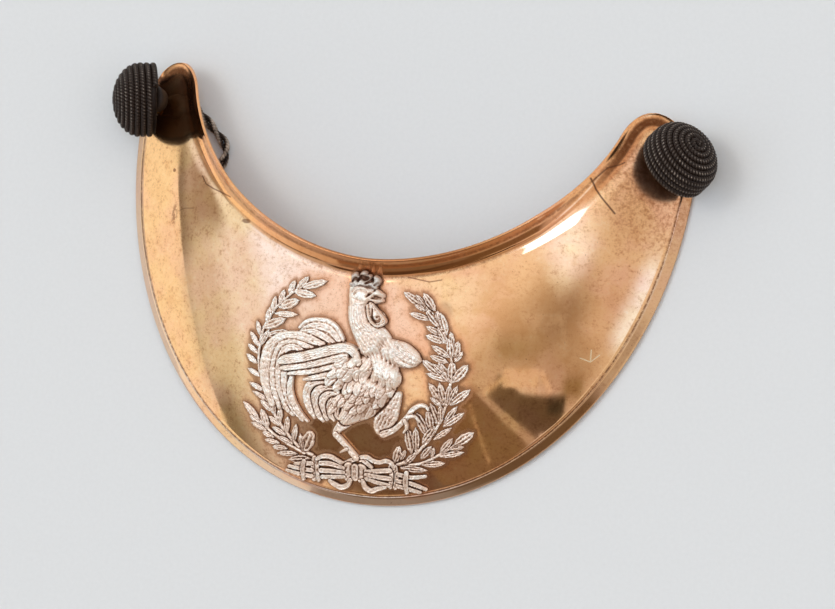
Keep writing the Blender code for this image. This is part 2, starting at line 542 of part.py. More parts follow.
def emblem_strokes():
    """Every stroke of the emblem as (rows, crown)."""
    strokes = [(leaf_rows(*leaf), LEAF_CROWN) for leaf in LEAVES]
    families = (
        (STEM_CROWN, STEMS),
        (RIBBON_CROWN, BOW),
        (PLUME_CROWN, PLUMES + FLAMES),
        (BODY_CROWN - 0.2, PRIMARIES),
        (LIMB_CROWN, LEGS),
    )
    for crown, routes in families:
        strokes += [(smooth_route(route, STROKE_STEP), crown) for route in routes]
    strokes += [(smooth_route(route, STROKE_STEP), crown) for crown, route in BODY + HEAD]
    return strokes


def lay_on_plate(mesh):
    """Bends a flat emblem, drawn in plan, over the plate with the clearance below it."""
    places = np.array([vert.co for vert in mesh.vertices]) / MM
    laid = on_plate(places[:, 0], places[:, 1], places[:, 2] + GAP) * MM
    mesh.vertices.foreach_set("co", laid.astype(np.float32).ravel())
    mesh.update()


def drop_crumbs(shape):
    """Deletes the loose specks that a remesh leaves at the tips of leaves, and keeps the largest body."""
    unseen = set(shape.verts)
    bodies = []
    while unseen:
        body, front = set(), {unseen.pop()}
        while front:
            body |= front
            front = {edge.other_vert(vert) for vert in front for edge in vert.link_edges} - body
        unseen -= body
        bodies.append(body)
    largest = max(bodies, key=len)
    crumbs = [vert for body in bodies if body is not largest for vert in body]
    bmesh.ops.delete(shape, geom=crumbs, context="VERTS")


def cut_flat_back(mesh):
    """Keeps what stands above the plate and closes the cut."""
    shape = bmesh.new()
    shape.from_mesh(mesh)
    everything = list(shape.verts) + list(shape.edges) + list(shape.faces)
    cut = bmesh.ops.bisect_plane(
        shape, geom=everything, plane_co=(0, 0, 0), plane_no=(0, 0, 1), clear_inner=True, dist=1e-7
    )
    rim = [item for item in cut["geom_cut"] if isinstance(item, bmesh.types.BMEdge)]
    bmesh.ops.triangle_fill(shape, edges=rim, use_beauty=True, use_dissolve=False)
    bmesh.ops.recalc_face_normals(shape, faces=shape.faces)
    bmesh.ops.triangulate(shape, faces=shape.faces)
    drop_crumbs(shape)
    shape.to_mesh(mesh)
    shape.free()


def make_emblem(collection, pins, material):
    """A stamped silver sheet with its soldered pins.

    Its strokes are fused by a voxel remesh, cut flat behind, laid on the plate and joined to the pins.
    """
    shape = bmesh.new()
    for rows, crown in emblem_strokes():
        mesh = stroke_mesh(rows, crown)
        shape.from_mesh(mesh)
        bpy.data.meshes.remove(mesh)
    joined = bpy.data.meshes.new("emblem")
    shape.to_mesh(joined)
    shape.free()
    rough = add_object("emblem_rough", joined, collection)
    fuse = rough.modifiers.new("fuse", "REMESH")
    fuse.mode = "VOXEL"
    fuse.voxel_size = VOXEL * MM
    fused = evaluated_mesh(rough)
    cut_flat_back(fused)
    lay_on_plate(fused)
    emblem = add_object("emblem", fused, collection, material)
    thin = emblem.modifiers.new("thin", "DECIMATE")
    thin.ratio = EMBLEM_FACES / len(fused.polygons)
    thin.use_collapse_triangulate = True
    for pin in pins:
        combine(emblem, pin, "UNION")
    fused.shade_smooth()
    return emblem


# ---- cord loops ----


def make_cord(name, collection, side, material):
    route = along(smooth_route(CORD_ROUTE, 0.5), CORD_POINTS)
    curve = bpy.data.curves.new(name, "CURVE")
    curve.dimensions = "3D"
    curve.bevel_depth = CORD_DIAMETER / 2 * MM
    curve.bevel_resolution = 2
    curve.use_fill_caps = True
    spline = curve.splines.new("POLY")
    spline.points.add(len(route) - 1)
    for point, (x, y) in zip(spline.points, route):
        point.co = (side * x * MM, y * MM, CORD_LIE * MM, 1)
    curve.materials.append(material)
    cord = bpy.data.objects.new(name, curve)
    collection.objects.link(cord)
    return cord


# ---- resting pose ----


def rest_angle():
    """Tilt at which the rim's bottom and its two sides meet the table together."""
    x, y = RIM_LINE.T
    low = surface(x, y) - WALL * dome_normal(x, y)[:, 2]
    bottom = np.argmin(y)
    sides = y > 0
    return -min(atan2(z - low[bottom], v - y[bottom]) for z, v in zip(low[sides], y[sides]))


def lay_down(rest, pieces, helpers, cords):
    """Tips the pieces onto their rim and centres them over the origin. The cords keep to the table."""
    for item in pieces + helpers:
        item.parent = rest
    rest.rotation_euler = (rest_angle(), 0, 0)
    bpy.context.view_layer.update()
    graph = bpy.context.evaluated_depsgraph_get()
    corners = []
    for piece in pieces:
        shown = piece.evaluated_get(graph)
        corners += [shown.matrix_world @ vert.co for vert in shown.to_mesh().vertices]
        shown.to_mesh_clear()
    front = min(corner.y for corner in corners)
    back = max(corner.y for corner in corners)
    rest.location = (0, -(front + back) / 2, -min(corner.z for corner in corners))
    for cord in cords:
        cord.location = (0, (front - back) / 2, 0)


def main():
    clear_scene()
    gorget = new_collection("gorget")
    helping = new_collection("cutters")
    gilt = finish_of("gilt_copper", GILT)
    silver = finish_of("silvered_emblem", SILVER)
    wound = finish_of("wound_cord", BLACK_CORD)
    brass = finish_of("brass_posts", BRASS)

    buttons = {"left": (-BUTTON_X, BUTTON_Y), "right": (BUTTON_X, BUTTON_Y)}
    through = {"hole_for_" + name: (PIN_RADIUS, place) for name, place in PIN_PLACES.items()}
    through.update({"hole_for_post_" + side: (POST_RADIUS, place) for side, place in buttons.items()})
    holes = [
        make_rod(name, helping, radius + GAP, -HOLE_REACH, HOLE_REACH, place)
        for name, (radius, place) in through.items()
    ]
    pins = [
        make_rod(name, helping, PIN_RADIUS, -WALL - PIN_BELOW, PIN_INTO_EMBLEM, place)
        for name, place in PIN_PLACES.items()
    ]
    pieces = [make_plate(gorget, holes, gilt), make_emblem(gorget, pins, silver)]
    for side, place in buttons.items():
        top = BUTTON_STAND_OFF - GAP
        bottom = -WALL - POST_BELOW
        pieces.append(make_rod("button_post_" + side, gorget, POST_RADIUS, bottom, top, place, brass))
        pieces.append(make_button("button_" + side, gorget, place, wound))
    cords = [make_cord("cord_loop_left", gorget, -1, wound), make_cord("cord_loop_right", gorget, 1, wound)]

    rest = bpy.data.objects.new("gorget_rest", None)
    gorget.objects.link(rest)
    lay_down(rest, pieces, holes + pins, cords)
    bpy.context.view_layer.update()


main()
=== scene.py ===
"""Officer's gorget lying on a pale table: close meshes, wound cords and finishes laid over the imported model.

Everything on the plate is drawn in its own plan, in millimetres: X across, Y towards the wearer's neck and Z
up from the crown of the dome. The Lay class then tips it onto the table and scales it to metres.
"""

from math import atan2, cos, pi, radians, sin

import bpy
import numpy as np
from mathutils import Matrix, Vector, noise
from mathutils.kdtree import KDTree


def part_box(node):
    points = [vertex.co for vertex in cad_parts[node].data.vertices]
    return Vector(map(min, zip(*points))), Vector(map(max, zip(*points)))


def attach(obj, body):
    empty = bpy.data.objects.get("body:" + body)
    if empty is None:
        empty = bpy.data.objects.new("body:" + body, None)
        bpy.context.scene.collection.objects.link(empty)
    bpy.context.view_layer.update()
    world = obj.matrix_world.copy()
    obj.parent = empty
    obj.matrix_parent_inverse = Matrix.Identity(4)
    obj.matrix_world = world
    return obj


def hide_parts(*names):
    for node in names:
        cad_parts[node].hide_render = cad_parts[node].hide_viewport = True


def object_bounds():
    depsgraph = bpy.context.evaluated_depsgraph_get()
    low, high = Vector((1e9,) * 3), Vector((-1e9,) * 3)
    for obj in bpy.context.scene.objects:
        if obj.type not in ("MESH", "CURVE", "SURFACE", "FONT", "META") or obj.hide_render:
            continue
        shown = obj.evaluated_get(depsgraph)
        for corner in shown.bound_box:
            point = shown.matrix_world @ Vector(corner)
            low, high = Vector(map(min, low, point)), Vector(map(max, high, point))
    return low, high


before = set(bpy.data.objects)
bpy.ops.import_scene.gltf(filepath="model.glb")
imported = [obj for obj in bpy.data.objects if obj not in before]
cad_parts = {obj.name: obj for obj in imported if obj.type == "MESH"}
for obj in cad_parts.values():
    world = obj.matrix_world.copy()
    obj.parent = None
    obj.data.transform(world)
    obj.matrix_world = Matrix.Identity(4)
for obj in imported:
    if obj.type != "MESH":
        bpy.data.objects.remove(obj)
CAD_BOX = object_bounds()
MM = 0.001

# Camera, in metres and degrees
AIM = Vector((0.0120, -0.0024, 0.0120))
CAMERA_AZIMUTH = 73.18
CAMERA_ELEVATION = 70.12
CAMERA_DISTANCE = 1.3041
CAMERA_ROLL = -65.21
LENS = 210.4

# Plate: outline in plan
HALF_WIDTH = 80.0
WIDEST_Y = 37.9
RIM_DROP = 96.2
RIM_POWER = 2.025
SHOULDER_RISE = 7.1
SHOULDER_TURN_IN = 1.4
NECK_HALF_WIDTH = 63.2
NECK_BOTTOM_Y = 8.1
NECK_RISE = 50.8
NECK_POWER = 1.851
NECK_TOP_Y = 48.0
TIP_REACH = 11.2  # length of the handles of the horn tip's curve
TIP_END = 0.49  # share of that curve at which the neck edge ends and the rim begins, seen from either end

# Plate: dome, flange, border and wall
DOME_RADIUS_X = 173.0
DOME_RADIUS_Y = 166.7
DOME_STEEPENING = 1.378e-7
DOME_TWIST = -7.8e-6
WALL = 0.9
FLANGE_WIDTH = 4.6
FLANGE_RISE = 2.6
FLANGE_FADES = (44.0, 63.0)  # between these distances from the middle the flange narrows to a low lip
FLANGE_LEFT = 0.42  # share of its width that is left on the horns
BORDER_WIDTH = 2.7
BORDER_DROP = 0.4
GROOVE_DEPTH = 0.16
GROOVE_HALF_WIDTH = 0.32
WAVE = 0.012  # height of the sheet's slight unevenness
WAVE_LENGTH = 15.0
TROUGH = 0.14  # a shallow hollow follows the foot of the flange
TROUGH_FROM_NECK = 4.4
TROUGH_HALF_WIDTH = 1.5

# Plate: mesh
COLUMNS = 230  # from the middle of the crescent to one horn tip
# Distances of the rows from the neck edge, and of the others from the rim, inner row first
NECK_ROWS = (0.3, 0.6, 0.95, 1.35, 1.8, 2.3, 2.8, 3.3, 3.8, 4.3, 4.8, 5.4, 6.2, 7.2)
RIM_ROWS = (4.6, 3.7, 3.25, 3.0, 2.86, 2.76, 2.66, 2.56, 2.42, 2.2, 1.8, 1.3, 0.8, 0.38)
BODY_ROWS = 34
EDGE_STEPS = 5  # points round the sheet's rounded edge
EDGE_SQUARENESS = 0.6  # 1 is round, less is squarer
SHORTEST_FULL_RULING = 16.0
CLOSEST_SLANT = 0.55  # least sine of the angle between a ruling and an edge that the rows allow for
NECK_SHARE = 0.5  # most of a ruling that the rows along the neck edge take up
RIM_SHARE = 0.45
EDGE_POINTS = 7000  # of each edge line
SHARP_ANGLE = 50  # degrees
HOLE_REACH = 4.0  # the hole cutters go this far above and below the plate's face
ROD_SIDES = 40  # of the pins and of the hole cutters

# Buttons, posts and pins
SIDE_NAMES = {-1: "left", 1: "right"}
BUTTON_X = 74.2
BUTTON_Y = 41.8
BUTTON_RADIUS = 10.3
BUTTON_WALL_HEIGHT = 4.4
BUTTON_HEIGHT = 12.0
BUTTON_STAND_OFF = 1.6
SHANK_RADII = (2.5, 2.9, 4.2)  # the cord-covered shank, from the post up to the button's base
SHANK_SIDES = 40
SHANK_RINGS = 12
SHANK_BEND = 1.4  # the shank keeps the way of the post and of the button about this far
SHANK_SUNK = 0.6  # how deep it goes into the button's base
# The loose buttons lean on their shanks, in the resting frame
BUTTON_SEATS = (
    # side, middle of the base, way the axis points
    (-1, (-73.0, 45.1, 9.9), (-0.900, -0.164, 0.405)),
    (1, (75.6, 42.4, 9.5), (0.665, 0.545, 0.511)),
)
POST_RADIUS = 2.2
POST_BELOW = 1.6
PIN_RADIUS = 0.9
PIN_BELOW = 1.2
PIN_PLACES = ((4.0, -20.0), (0.0, -49.2))
GAP = 0.3  # all round between a hole and what goes through it

# Wound cord of the buttons
WIND_PITCH = 1.73  # from one turn of the cord to the next
WIND_FIRST = 0.35  # from the crown to where the cord begins
WIND_TIGHTEST = 0.45  # least radius that sets the length of a step
WIND_PLY_RADIUS = 0.47
WIND_PLY_OFFSET = 0.45
WIND_TWIST = 1.8  # length over which a ply goes once round the cord
WIND_STEPS = 10  # rings of each ply in that length
WIND_START = pi  # turn of the winding at the crown, which puts its end out of sight
PLY_SIDES = 6
MOULD_SIDES = 48
MOULD_RINGS = 14
MOULD_INSET = 1.1  # depth of the mould below the skin, as a share of the cord's thickness

# Cord loops, in the resting frame: X outwards from the middle, Y from the bottom of the rim
CORD_DIAMETER = 2.8
CORD_LIE = 1.45  # height of its middle above the table
CORD_STEP = 0.3
STRAND_OFFSET = 0.7  # two thinner cords lie side by side in each loop
STRAND_TWIST = 14.0
STRAND_TURN = 0.6  # how far the two are already turned at the post, in radians
PLY_RADIUS = 0.42
PLY_OFFSET = 0.3
PLY_TWIST = 1.8
PLY_STEPS = 10  # rings of each ply in that length
CORD_ROUTE = (
    (73.4, 105.0), (70.2, 105.1), (67.0, 104.1), (64.2, 102.2), (61.6, 100.0), (59.1, 97.8), (56.7, 95.7),
    (54.5, 93.5), (53.5, 91.4), (53.5, 89.3), (54.2, 87.2), (55.4, 84.9), (57.2, 82.6), (59.9, 81.0),
    (63.0, 81.1), (65.4, 83.0), (66.1, 86.0), (64.9, 88.9), (62.9, 91.4), (61.8, 94.0), (62.7, 96.3),
    (65.0, 97.7), (68.2, 97.9), (73.4, 96.8),
)

# Emblem
RELIEF_GRID = 0.16
OUTER_CELLS = 1.5  # a stroke's own height goes on this many cells past its outline
RELIEF_X = (-35.0, 33.5)
RELIEF_Y = (-55.6, 6.4)
SHEET_EDGE = 0.3  # height of the stamped sheet's edge above the plate
LEAF_CROWN = 0.9
STEM_CROWN = 0.9
RIBBON_CROWN = 1.3
PLUME_CROWN = 1.3
BODY_CROWN = 2.6
LIMB_CROWN = 1.6
FAR_WING_CROWN = 2.35
COMB_CROWN = 2.1
PITTING = 0.16  # height of the stamped sheet's unevenness
HALO_REACH = 3.0  # dirt and painted shade gather on the plate this far round the emblem
# Outlines of a leaf and of a small feather: station from root to tip, share of the half width
LEAF_SHAPE = ((0.0, 0.25), (0.22, 0.8), (0.5, 1.0), (0.78, 0.72), (1.0, 0.08))
FEATHER_SHAPE = ((0.0, 0.7), (0.4, 1.0), (0.75, 0.9), (0.92, 0.45))
STRAND_TAPER = (0.75, 0.9, 1.0, 1.0, 1.0, 0.95, 0.8, 0.55, 0.25)  # shares of width from root to tip
STEM_STEP = 0.6  # from one row of a smoothed stroke to the next
STROKE_STEP = 0.5
FINE_STEP = 0.4
CHASED_WIDTH = 0.45  # width of the chased line round a stroke
UNDERCUT = 0.35  # its depth, as a share of the height beside it
HOLLOW_SLOPE = 0.3  # width of the slope round a pressed hollow
FOOT_LIFT = 0.03  # the sheet's edge ends this far above the plate
BODY_BLUR = 0.5  # feathers are laid on the body smoothed over this distance
BREAST_LIFT = (0.05, 0.5)  # height of a feather's root and of its tip above the body
WING_COVERT_LIFT = (0.35, 0.75)
STRAND_LIFT = (0.05, 0.24)
FEATHER_STRAY = (0.5, 0.4, 0.7)  # chance turns it in radians, lengthens it as a share and shifts it
RECESS_REACHES = ((0.35, 0.7), (0.9, 0.35))  # distance over which a hollow is measured for its tarnish and painted shade, weight

# Stems of the wreath, from the bands outwards: (x, y, half width)
STEMS = (
    ((11, -46, 0.5), (14, -44.5, 0.5), (17.5, -41.2, 0.5), (20.5, -37.4, 0.45), (22.8, -33, 0.45),
     (24.4, -28, 0.4), (25.3, -22, 0.4), (25.2, -16, 0.35), (23.2, -10, 0.35), (20.2, -5.5, 0.3),
     (17.3, -2.6, 0.3)),
    ((15, -45.4, 0.45), (18.5, -44.4, 0.4), (22.5, -42, 0.4), (25.5, -39.9, 0.35), (27.8, -37.8, 0.3)),
    ((-12.5, -46.2, 0.5), (-16, -44.8, 0.5), (-20.3, -41.2, 0.5), (-24, -36.8, 0.45), (-27, -31.5, 0.45),
     (-29, -26, 0.4), (-29.7, -20, 0.4), (-28.8, -14, 0.35), (-26.4, -9, 0.35), (-23.2, -5.4, 0.3),
     (-19.4, -1.9, 0.3)),
    ((-15, -45.9, 0.45), (-20.5, -43.8, 0.4), (-25.4, -41.2, 0.4), (-29.2, -38.4, 0.3)),
)

# Leaves: (root x, root y, tip x, tip y, half width)
LEAVES = (
    # right branch, from the top down
    (16.6, -2.6, 10.8, 0.7, 1.15), (17.0, -2.4, 14.2, 0.4, 0.7), (19.7, -3.2, 16.2, 1.0, 1.15),
    (18.6, -5.8, 12.9, -4.7, 0.95), (17.6, -3.6, 14.0, -2.4, 0.7), (21.6, -7.6, 17.2, -3.0, 1.2),
    (23.4, -9.2, 21.2, -3.7, 1.15), (20.6, -6.0, 20.4, -3.2, 0.7), (22.4, -9.6, 17.7, -7.7, 0.95),
    (22.9, -11.4, 17.8, -10.1, 1.05), (23.4, -11.6, 21.0, -7.6, 0.9), (25.2, -12.5, 24.4, -8.4, 0.85),
    (26.2, -15.6, 26.6, -10.6, 1.1), (25.0, -15.4, 24.2, -10.2, 1.1), (24.6, -15.2, 19.6, -12.6, 1.0),
    (24.2, -16.6, 19.4, -15.4, 0.95), (26.2, -16.2, 28.0, -13.3, 0.7), (22.4, -20.2, 17.3, -16.7, 1.15),
    (24.8, -21.4, 18.6, -20.2, 0.95), (25.2, -21.8, 21.8, -16.9, 1.25), (25.6, -21.8, 25.4, -16.2, 1.35),
    (26.0, -21.6, 29.6, -16.7, 1.35), (23.6, -20.0, 20.4, -17.4, 0.8), (23.8, -28.0, 19.5, -22.7, 1.2),
    (24.2, -28.0, 22.3, -22.2, 1.1), (24.6, -28.2, 25.2, -22.4, 0.95), (25.2, -27.6, 27.2, -22.5, 0.9),
    (25.6, -27.8, 30.6, -23.2, 1.15), (23.2, -28.6, 20.0, -26.4, 0.7), (22.4, -33.4, 20.2, -28.0, 1.1),
    (23.2, -33.0, 23.0, -28.2, 0.9), (24.2, -32.8, 27.4, -28.0, 0.85), (24.0, -33.8, 29.3, -29.6, 1.0),
    (19.6, -36.8, 16.6, -31.0, 1.25), (20.8, -35.4, 19.6, -29.7, 1.2), (18.6, -38.9, 21.7, -34.1, 1.15),
    (21.6, -37.6, 26.2, -33.9, 0.8), (15.5, -42.0, 14.2, -35.3, 1.3), (16.8, -41.6, 16.5, -35.0, 1.1),
    (18.2, -43.2, 20.9, -39.6, 1.0), (11.0, -45.0, 12.2, -40.7, 1.2), (12.6, -44.2, 13.9, -41.5, 0.7),
    (13.8, -45.2, 16.8, -42.0, 0.85), (12.6, -46.4, 19.9, -46.3, 0.95),
    # right spray
    (27.2, -38.4, 32.0, -34.6, 1.3), (23.4, -41.0, 26.5, -36.8, 0.95), (26.0, -39.8, 29.6, -38.7, 0.7),
    (23.4, -42.0, 29.6, -40.2, 0.85), (18.6, -44.9, 24.6, -43.8, 0.95), (21.0, -42.8, 21.6, -39.8, 0.6),
    # left branch, from the top down
    (-17.8, -1.3, -10.9, 1.2, 1.15), (-19.6, -2.0, -16.5, 1.7, 0.95), (-21.8, -3.4, -20.4, 0.3, 0.9),
    (-20.2, -2.8, -13.9, -3.2, 1.2), (-24.2, -7.4, -18.7, -4.9, 1.4), (-25.4, -9.3, -18.7, -8.8, 0.9),
    (-24.4, -6.6, -23.4, -2.6, 0.9), (-26.4, -9.4, -25.8, -4.6, 0.9), (-27.8, -12.2, -27.2, -7.8, 0.9),
    (-28.8, -13.4, -22.2, -10.3, 1.35), (-27.8, -15.6, -21.6, -13.4, 0.9),
    (-29.6, -15.6, -30.9, -11.9, 0.75), (-29.4, -18.4, -27.0, -13.8, 0.9),
    (-30.0, -18.6, -32.7, -15.0, 0.8), (-30.2, -20.6, -33.3, -18.4, 0.75),
    (-30.2, -23.4, -33.6, -21.2, 0.8), (-28.8, -26.8, -33.0, -25.0, 0.75),
    (-27.4, -30.6, -32.3, -28.8, 0.75), (-26.2, -33.0, -31.2, -31.0, 0.75),
    (-24.8, -35.8, -28.6, -33.2, 0.9), (-24.4, -36.6, -25.0, -32.6, 0.9), (-22.8, -38.6, -22.4, -34.4, 0.9),
    (-22.4, -39.4, -26.0, -37.2, 0.8), (-20.6, -41.4, -20.2, -36.6, 0.9), (-20.6, -41.8, -24.8, -40.0, 0.8),
    (-18.4, -43.2, -17.6, -38.4, 0.9), (-18.6, -43.8, -23.0, -42.4, 0.75),
    (-15.2, -45.2, -12.9, -39.8, 1.9), (-15.6, -45.2, -16.4, -40.8, 0.8),
    # left spray
    (-29.0, -38.8, -33.9, -34.3, 1.0), (-26.2, -40.4, -28.4, -35.6, 1.15),
    (-28.2, -39.8, -32.0, -37.8, 0.75), (-26.8, -41.2, -31.5, -39.6, 0.75),
    (-24.4, -42.8, -27.8, -41.8, 0.8), (-22.8, -44.2, -27.2, -43.8, 0.8), (-20.4, -45.4, -24.8, -45.4, 0.8),
    (-17.4, -46.4, -23.3, -47.0, 0.8), (-13.4, -47.2, -19.8, -48.3, 1.05),
)

# Body of the rooster: (crown, ((x, y, half width), ...)), and so for the head, the wattle and the sheet fills
BODY = (
    (BODY_CROWN, ((-0.9, 0.6, 3.4), (-0.9, -1.2, 3.4), (-1.0, -4.5, 3.1), (-0.6, -7.5, 3.3),
                  (1.8, -10.8, 4.2), (4.6, -14.5, 5.0), (5.6, -19.0, 5.6), (4.8, -23.5, 6.4),
                  (2.0, -27.8, 6.2), (-1.2, -31.5, 4.4), (-2.8, -34.6, 2.2))),
    (BODY_CROWN, ((5.5, -20.0, 4.0), (9.2, -22.5, 3.0))),
    (2.2, ((1.0, -20.5, 3.4), (-3.5, -21.5, 3.8), (-6.5, -24.5, 3.2), (-8.0, -28.0, 3.0),
           (-6.5, -32.0, 2.4))),
    (2.1, ((8.6, -15.0, 3.0), (11.6, -15.9, 3.5), (14.2, -16.5, 2.7), (16.3, -16.8, 1.1))),
)

# Strokes that swell out of the body with no line round them
HEAD = (
    (2.75, ((-0.9, -0.6, 3.0), (-0.4, -1.4, 3.4), (0.4, -2.2, 3.1))),
    (2.5, ((0.2, -0.3, 1.6), (1.8, -0.4, 1.6), (3.6, -0.5, 1.3), (5.2, -1.0, 0.8))),
    (2.2, ((0.2, -2.0, 1.6), (1.8, -2.2, 1.5), (3.6, -2.2, 1.2), (5.1, -2.1, 0.8))),
)
COMB = (
    ((-3.6, 1.2, 0.8), (-1.4, 2.0, 1.2), (1.4, 1.8, 1.2), (3.2, 1.0, 0.8)),
    ((-2.6, 1.8, 1.0), (-3.0, 3.0, 1.2), (-2.7, 3.6, 1.0)),
    ((-0.8, 2.4, 0.9), (-0.6, 3.8, 1.1), (-0.1, 4.4, 0.8)),
    ((1.3, 2.2, 0.8), (1.2, 3.5, 0.9)),
    ((2.9, 1.6, 0.9), (3.5, 2.8, 1.1), (3.0, 3.5, 0.8)),
)

# Loose skin below the beak
WATTLE = (
    (2.2, ((2.4, -3.6, 1.0), (3.2, -5.6, 1.6), (4.4, -7.0, 2.2), (5.4, -7.4, 1.7))),
    (2.6, ((1.6, -3.8, 0.4), (2.0, -6.2, 0.45), (2.9, -8.0, 0.45), (4.5, -9.0, 0.45), (6.0, -8.6, 0.4),
           (6.9, -7.5, 0.35), (5.6, -5.9, 0.3), (4.2, -4.6, 0.3), (3.0, -3.4, 0.3))),
)

# Hollows of the head, pressed in last: (depth, the line they follow)
HOLLOWS = (
    (0.8, ((1.2, -1.6, 0.15), (2.2, -0.6, 0.25), (3.2, 0.2, 0.15))),  # eye
    (0.9, ((3.2, -1.3, 0.15), (4.6, -1.1, 0.25), (5.9, -1.0, 0.3))),  # open beak
    (0.9, ((2.6, -1.9, 0.15), (4.4, -1.8, 0.25), (5.8, -1.8, 0.3))),
    (0.35, ((-3.2, -0.9, 0.15), (-1.8, 0.6, 0.25), (0.4, 0.9, 0.25), (2.2, 0.2, 0.15))),  # brow
    (0.35, ((-2.4, -1.4, 0.15), (-1.2, -0.2, 0.25), (0.6, -0.2, 0.25), (1.6, -1.0, 0.15))),
    (0.2, ((-3.0, -2.2, 0.15), (-1.6, -2.9, 0.3), (0.4, -3.2, 0.15))),  # cheek
    (0.9, ((3.0, -4.8, 0.15), (3.1, -6.6, 0.25), (3.9, -7.8, 0.3), (5.1, -7.6, 0.3), (5.0, -6.6, 0.25),
           (4.3, -6.7, 0.2))),  # wattle
    (0.7, ((-3.3, 2.0, 0.2), (-2.5, 2.8, 0.3), (-1.6, 2.3, 0.2))),  # comb
    (1.3, ((-1.7, 2.4, 0.3), (-0.9, 3.4, 0.45), (0.1, 3.0, 0.5), (1.0, 3.3, 0.3))),
    (0.9, ((0.6, 1.9, 0.2), (1.7, 2.6, 0.35), (2.2, 3.2, 0.2))),
    (0.4, ((3.0, 1.6, 0.15), (3.8, 2.2, 0.2))),
)

# Low sheet that joins the feathers of the tail, the wing and the tail's root
SHEET_FILLS = (
    (1.1, ((-6.0, -14.2, 1.8), (-9.5, -12.4, 2.6), (-13.5, -12.4, 2.4), (-17.5, -14.0, 1.2))),
    (1.05, ((-13.0, -16.6, 1.4), (-18.8, -17.4, 2.2), (-22.6, -20.4, 2.2), (-23.2, -26.0, 2.2),
            (-21.8, -31.5, 2.2), (-18.6, -35.4, 1.0))),
    (2.3, ((-20.0, -22.4, 1.9), (-12.0, -21.2, 3.4), (-5.0, -19.6, 3.6))),
    (2.1, ((-6.0, -27.0, 2.8), (-9.4, -28.6, 4.6), (-9.4, -31.6, 4.0), (-8.4, -34.0, 2.0))),
)

# Long feathers of the tail, from the top one down: ((x, y, half width), ...)
TAIL_FEATHERS = (
    ((-4.8, -14.6, 0.5), (-6.1, -12.1, 0.7), (-8.8, -9.9, 0.8), (-12.4, -9.6, 0.8), (-15.6, -10.4, 0.7),
     (-17.6, -12.0, 0.4)),
    ((-5.6, -14.9, 0.5), (-6.9, -13.2, 0.8), (-9.0, -11.5, 0.95), (-11.8, -11.0, 1.0), (-14.8, -11.7, 0.9),
     (-17.8, -13.6, 0.4)),
    ((-6.6, -15.6, 0.6), (-9.5, -14.0, 0.8), (-12.9, -12.9, 0.85), (-16.1, -13.3, 0.8),
     (-19.4, -14.8, 0.4)),
    ((-10.4, -15.8, 0.7), (-14.7, -14.8, 1.2), (-18.9, -14.8, 1.5), (-23.1, -16.1, 1.75),
     (-26.0, -19.1, 1.9), (-26.9, -23.6, 1.9), (-26.4, -28.6, 1.7), (-24.8, -33.4, 0.9)),
    ((-12.6, -17.4, 0.5), (-15.9, -16.6, 0.7), (-19.4, -16.4, 0.9), (-22.6, -17.6, 1.0),
     (-24.2, -20.6, 0.9), (-24.8, -24.6, 0.9), (-24.4, -29.0, 0.9), (-22.6, -34.2, 0.5)),
    ((-15.9, -18.2, 0.5), (-18.8, -17.5, 0.8), (-21.4, -18.4, 0.9), (-22.8, -21.2, 0.95),
     (-23.1, -25.4, 0.95), (-22.2, -30.0, 0.95), (-19.9, -34.9, 0.5)),
    ((-20.8, -22.8, 0.5), (-21.5, -25.4, 0.8), (-20.7, -29.5, 0.9), (-18.6, -33.6, 0.85),
     (-15.5, -37.0, 0.35)),
    ((-19.2, -25.4, 0.5), (-19.6, -28.6, 0.8), (-18.7, -31.8, 0.85), (-16.6, -34.8, 0.7),
     (-13.9, -37.0, 0.3)),
)

# Short feathers at the root of the tail, from the lowest up
TAIL_COVERTS = (
    ((-3.9, -30.1, 0.8), (-5.1, -31.6, 0.8), (-5.4, -33.2, 0.8), (-4.6, -34.8, 0.4)),
    ((-4.9, -29.0, 0.8), (-6.5, -30.0, 0.9), (-7.3, -32.0, 0.95), (-7.0, -34.0, 0.8), (-5.9, -35.5, 0.35)),
    ((-5.5, -27.8, 0.8), (-8.0, -28.5, 1.0), (-9.5, -30.8, 1.0), (-9.3, -33.3, 0.9), (-7.9, -35.6, 0.35)),
    ((-6.0, -26.4, 0.8), (-9.3, -26.9, 1.0), (-11.4, -29.0, 1.0), (-11.7, -31.7, 0.95), (-10.5, -34.3, 0.8),
     (-9.0, -36.1, 0.3)),
    ((-6.1, -25.0, 0.7), (-9.9, -25.1, 0.95), (-12.8, -26.4, 1.0), (-14.1, -29.1, 0.95),
     (-13.4, -32.4, 0.9), (-11.5, -35.5, 0.3)),
)

# Long feathers of the near wing, from the lowest up; the last one bends down over the shoulder
WING_FEATHERS = (
    ((-14.8, -25.5, 0.4), (-10.2, -24.1, 0.8), (-5.4, -22.6, 0.9)),
    ((-19.3, -24.5, 0.4), (-13.5, -23.1, 0.85), (-6.6, -20.8, 0.9)),
    ((-21.6, -23.3, 0.5), (-19.4, -22.8, 0.8), (-13.4, -21.2, 0.95), (-8.0, -19.4, 0.95),
     (-3.6, -17.7, 0.9)),
    ((-22.4, -21.6, 0.6), (-20.8, -21.0, 1.1), (-14.6, -19.3, 1.2), (-8.0, -17.0, 1.2), (-3.8, -15.8, 1.1),
     (-1.2, -16.6, 1.0), (0.4, -19.4, 0.7)),
)

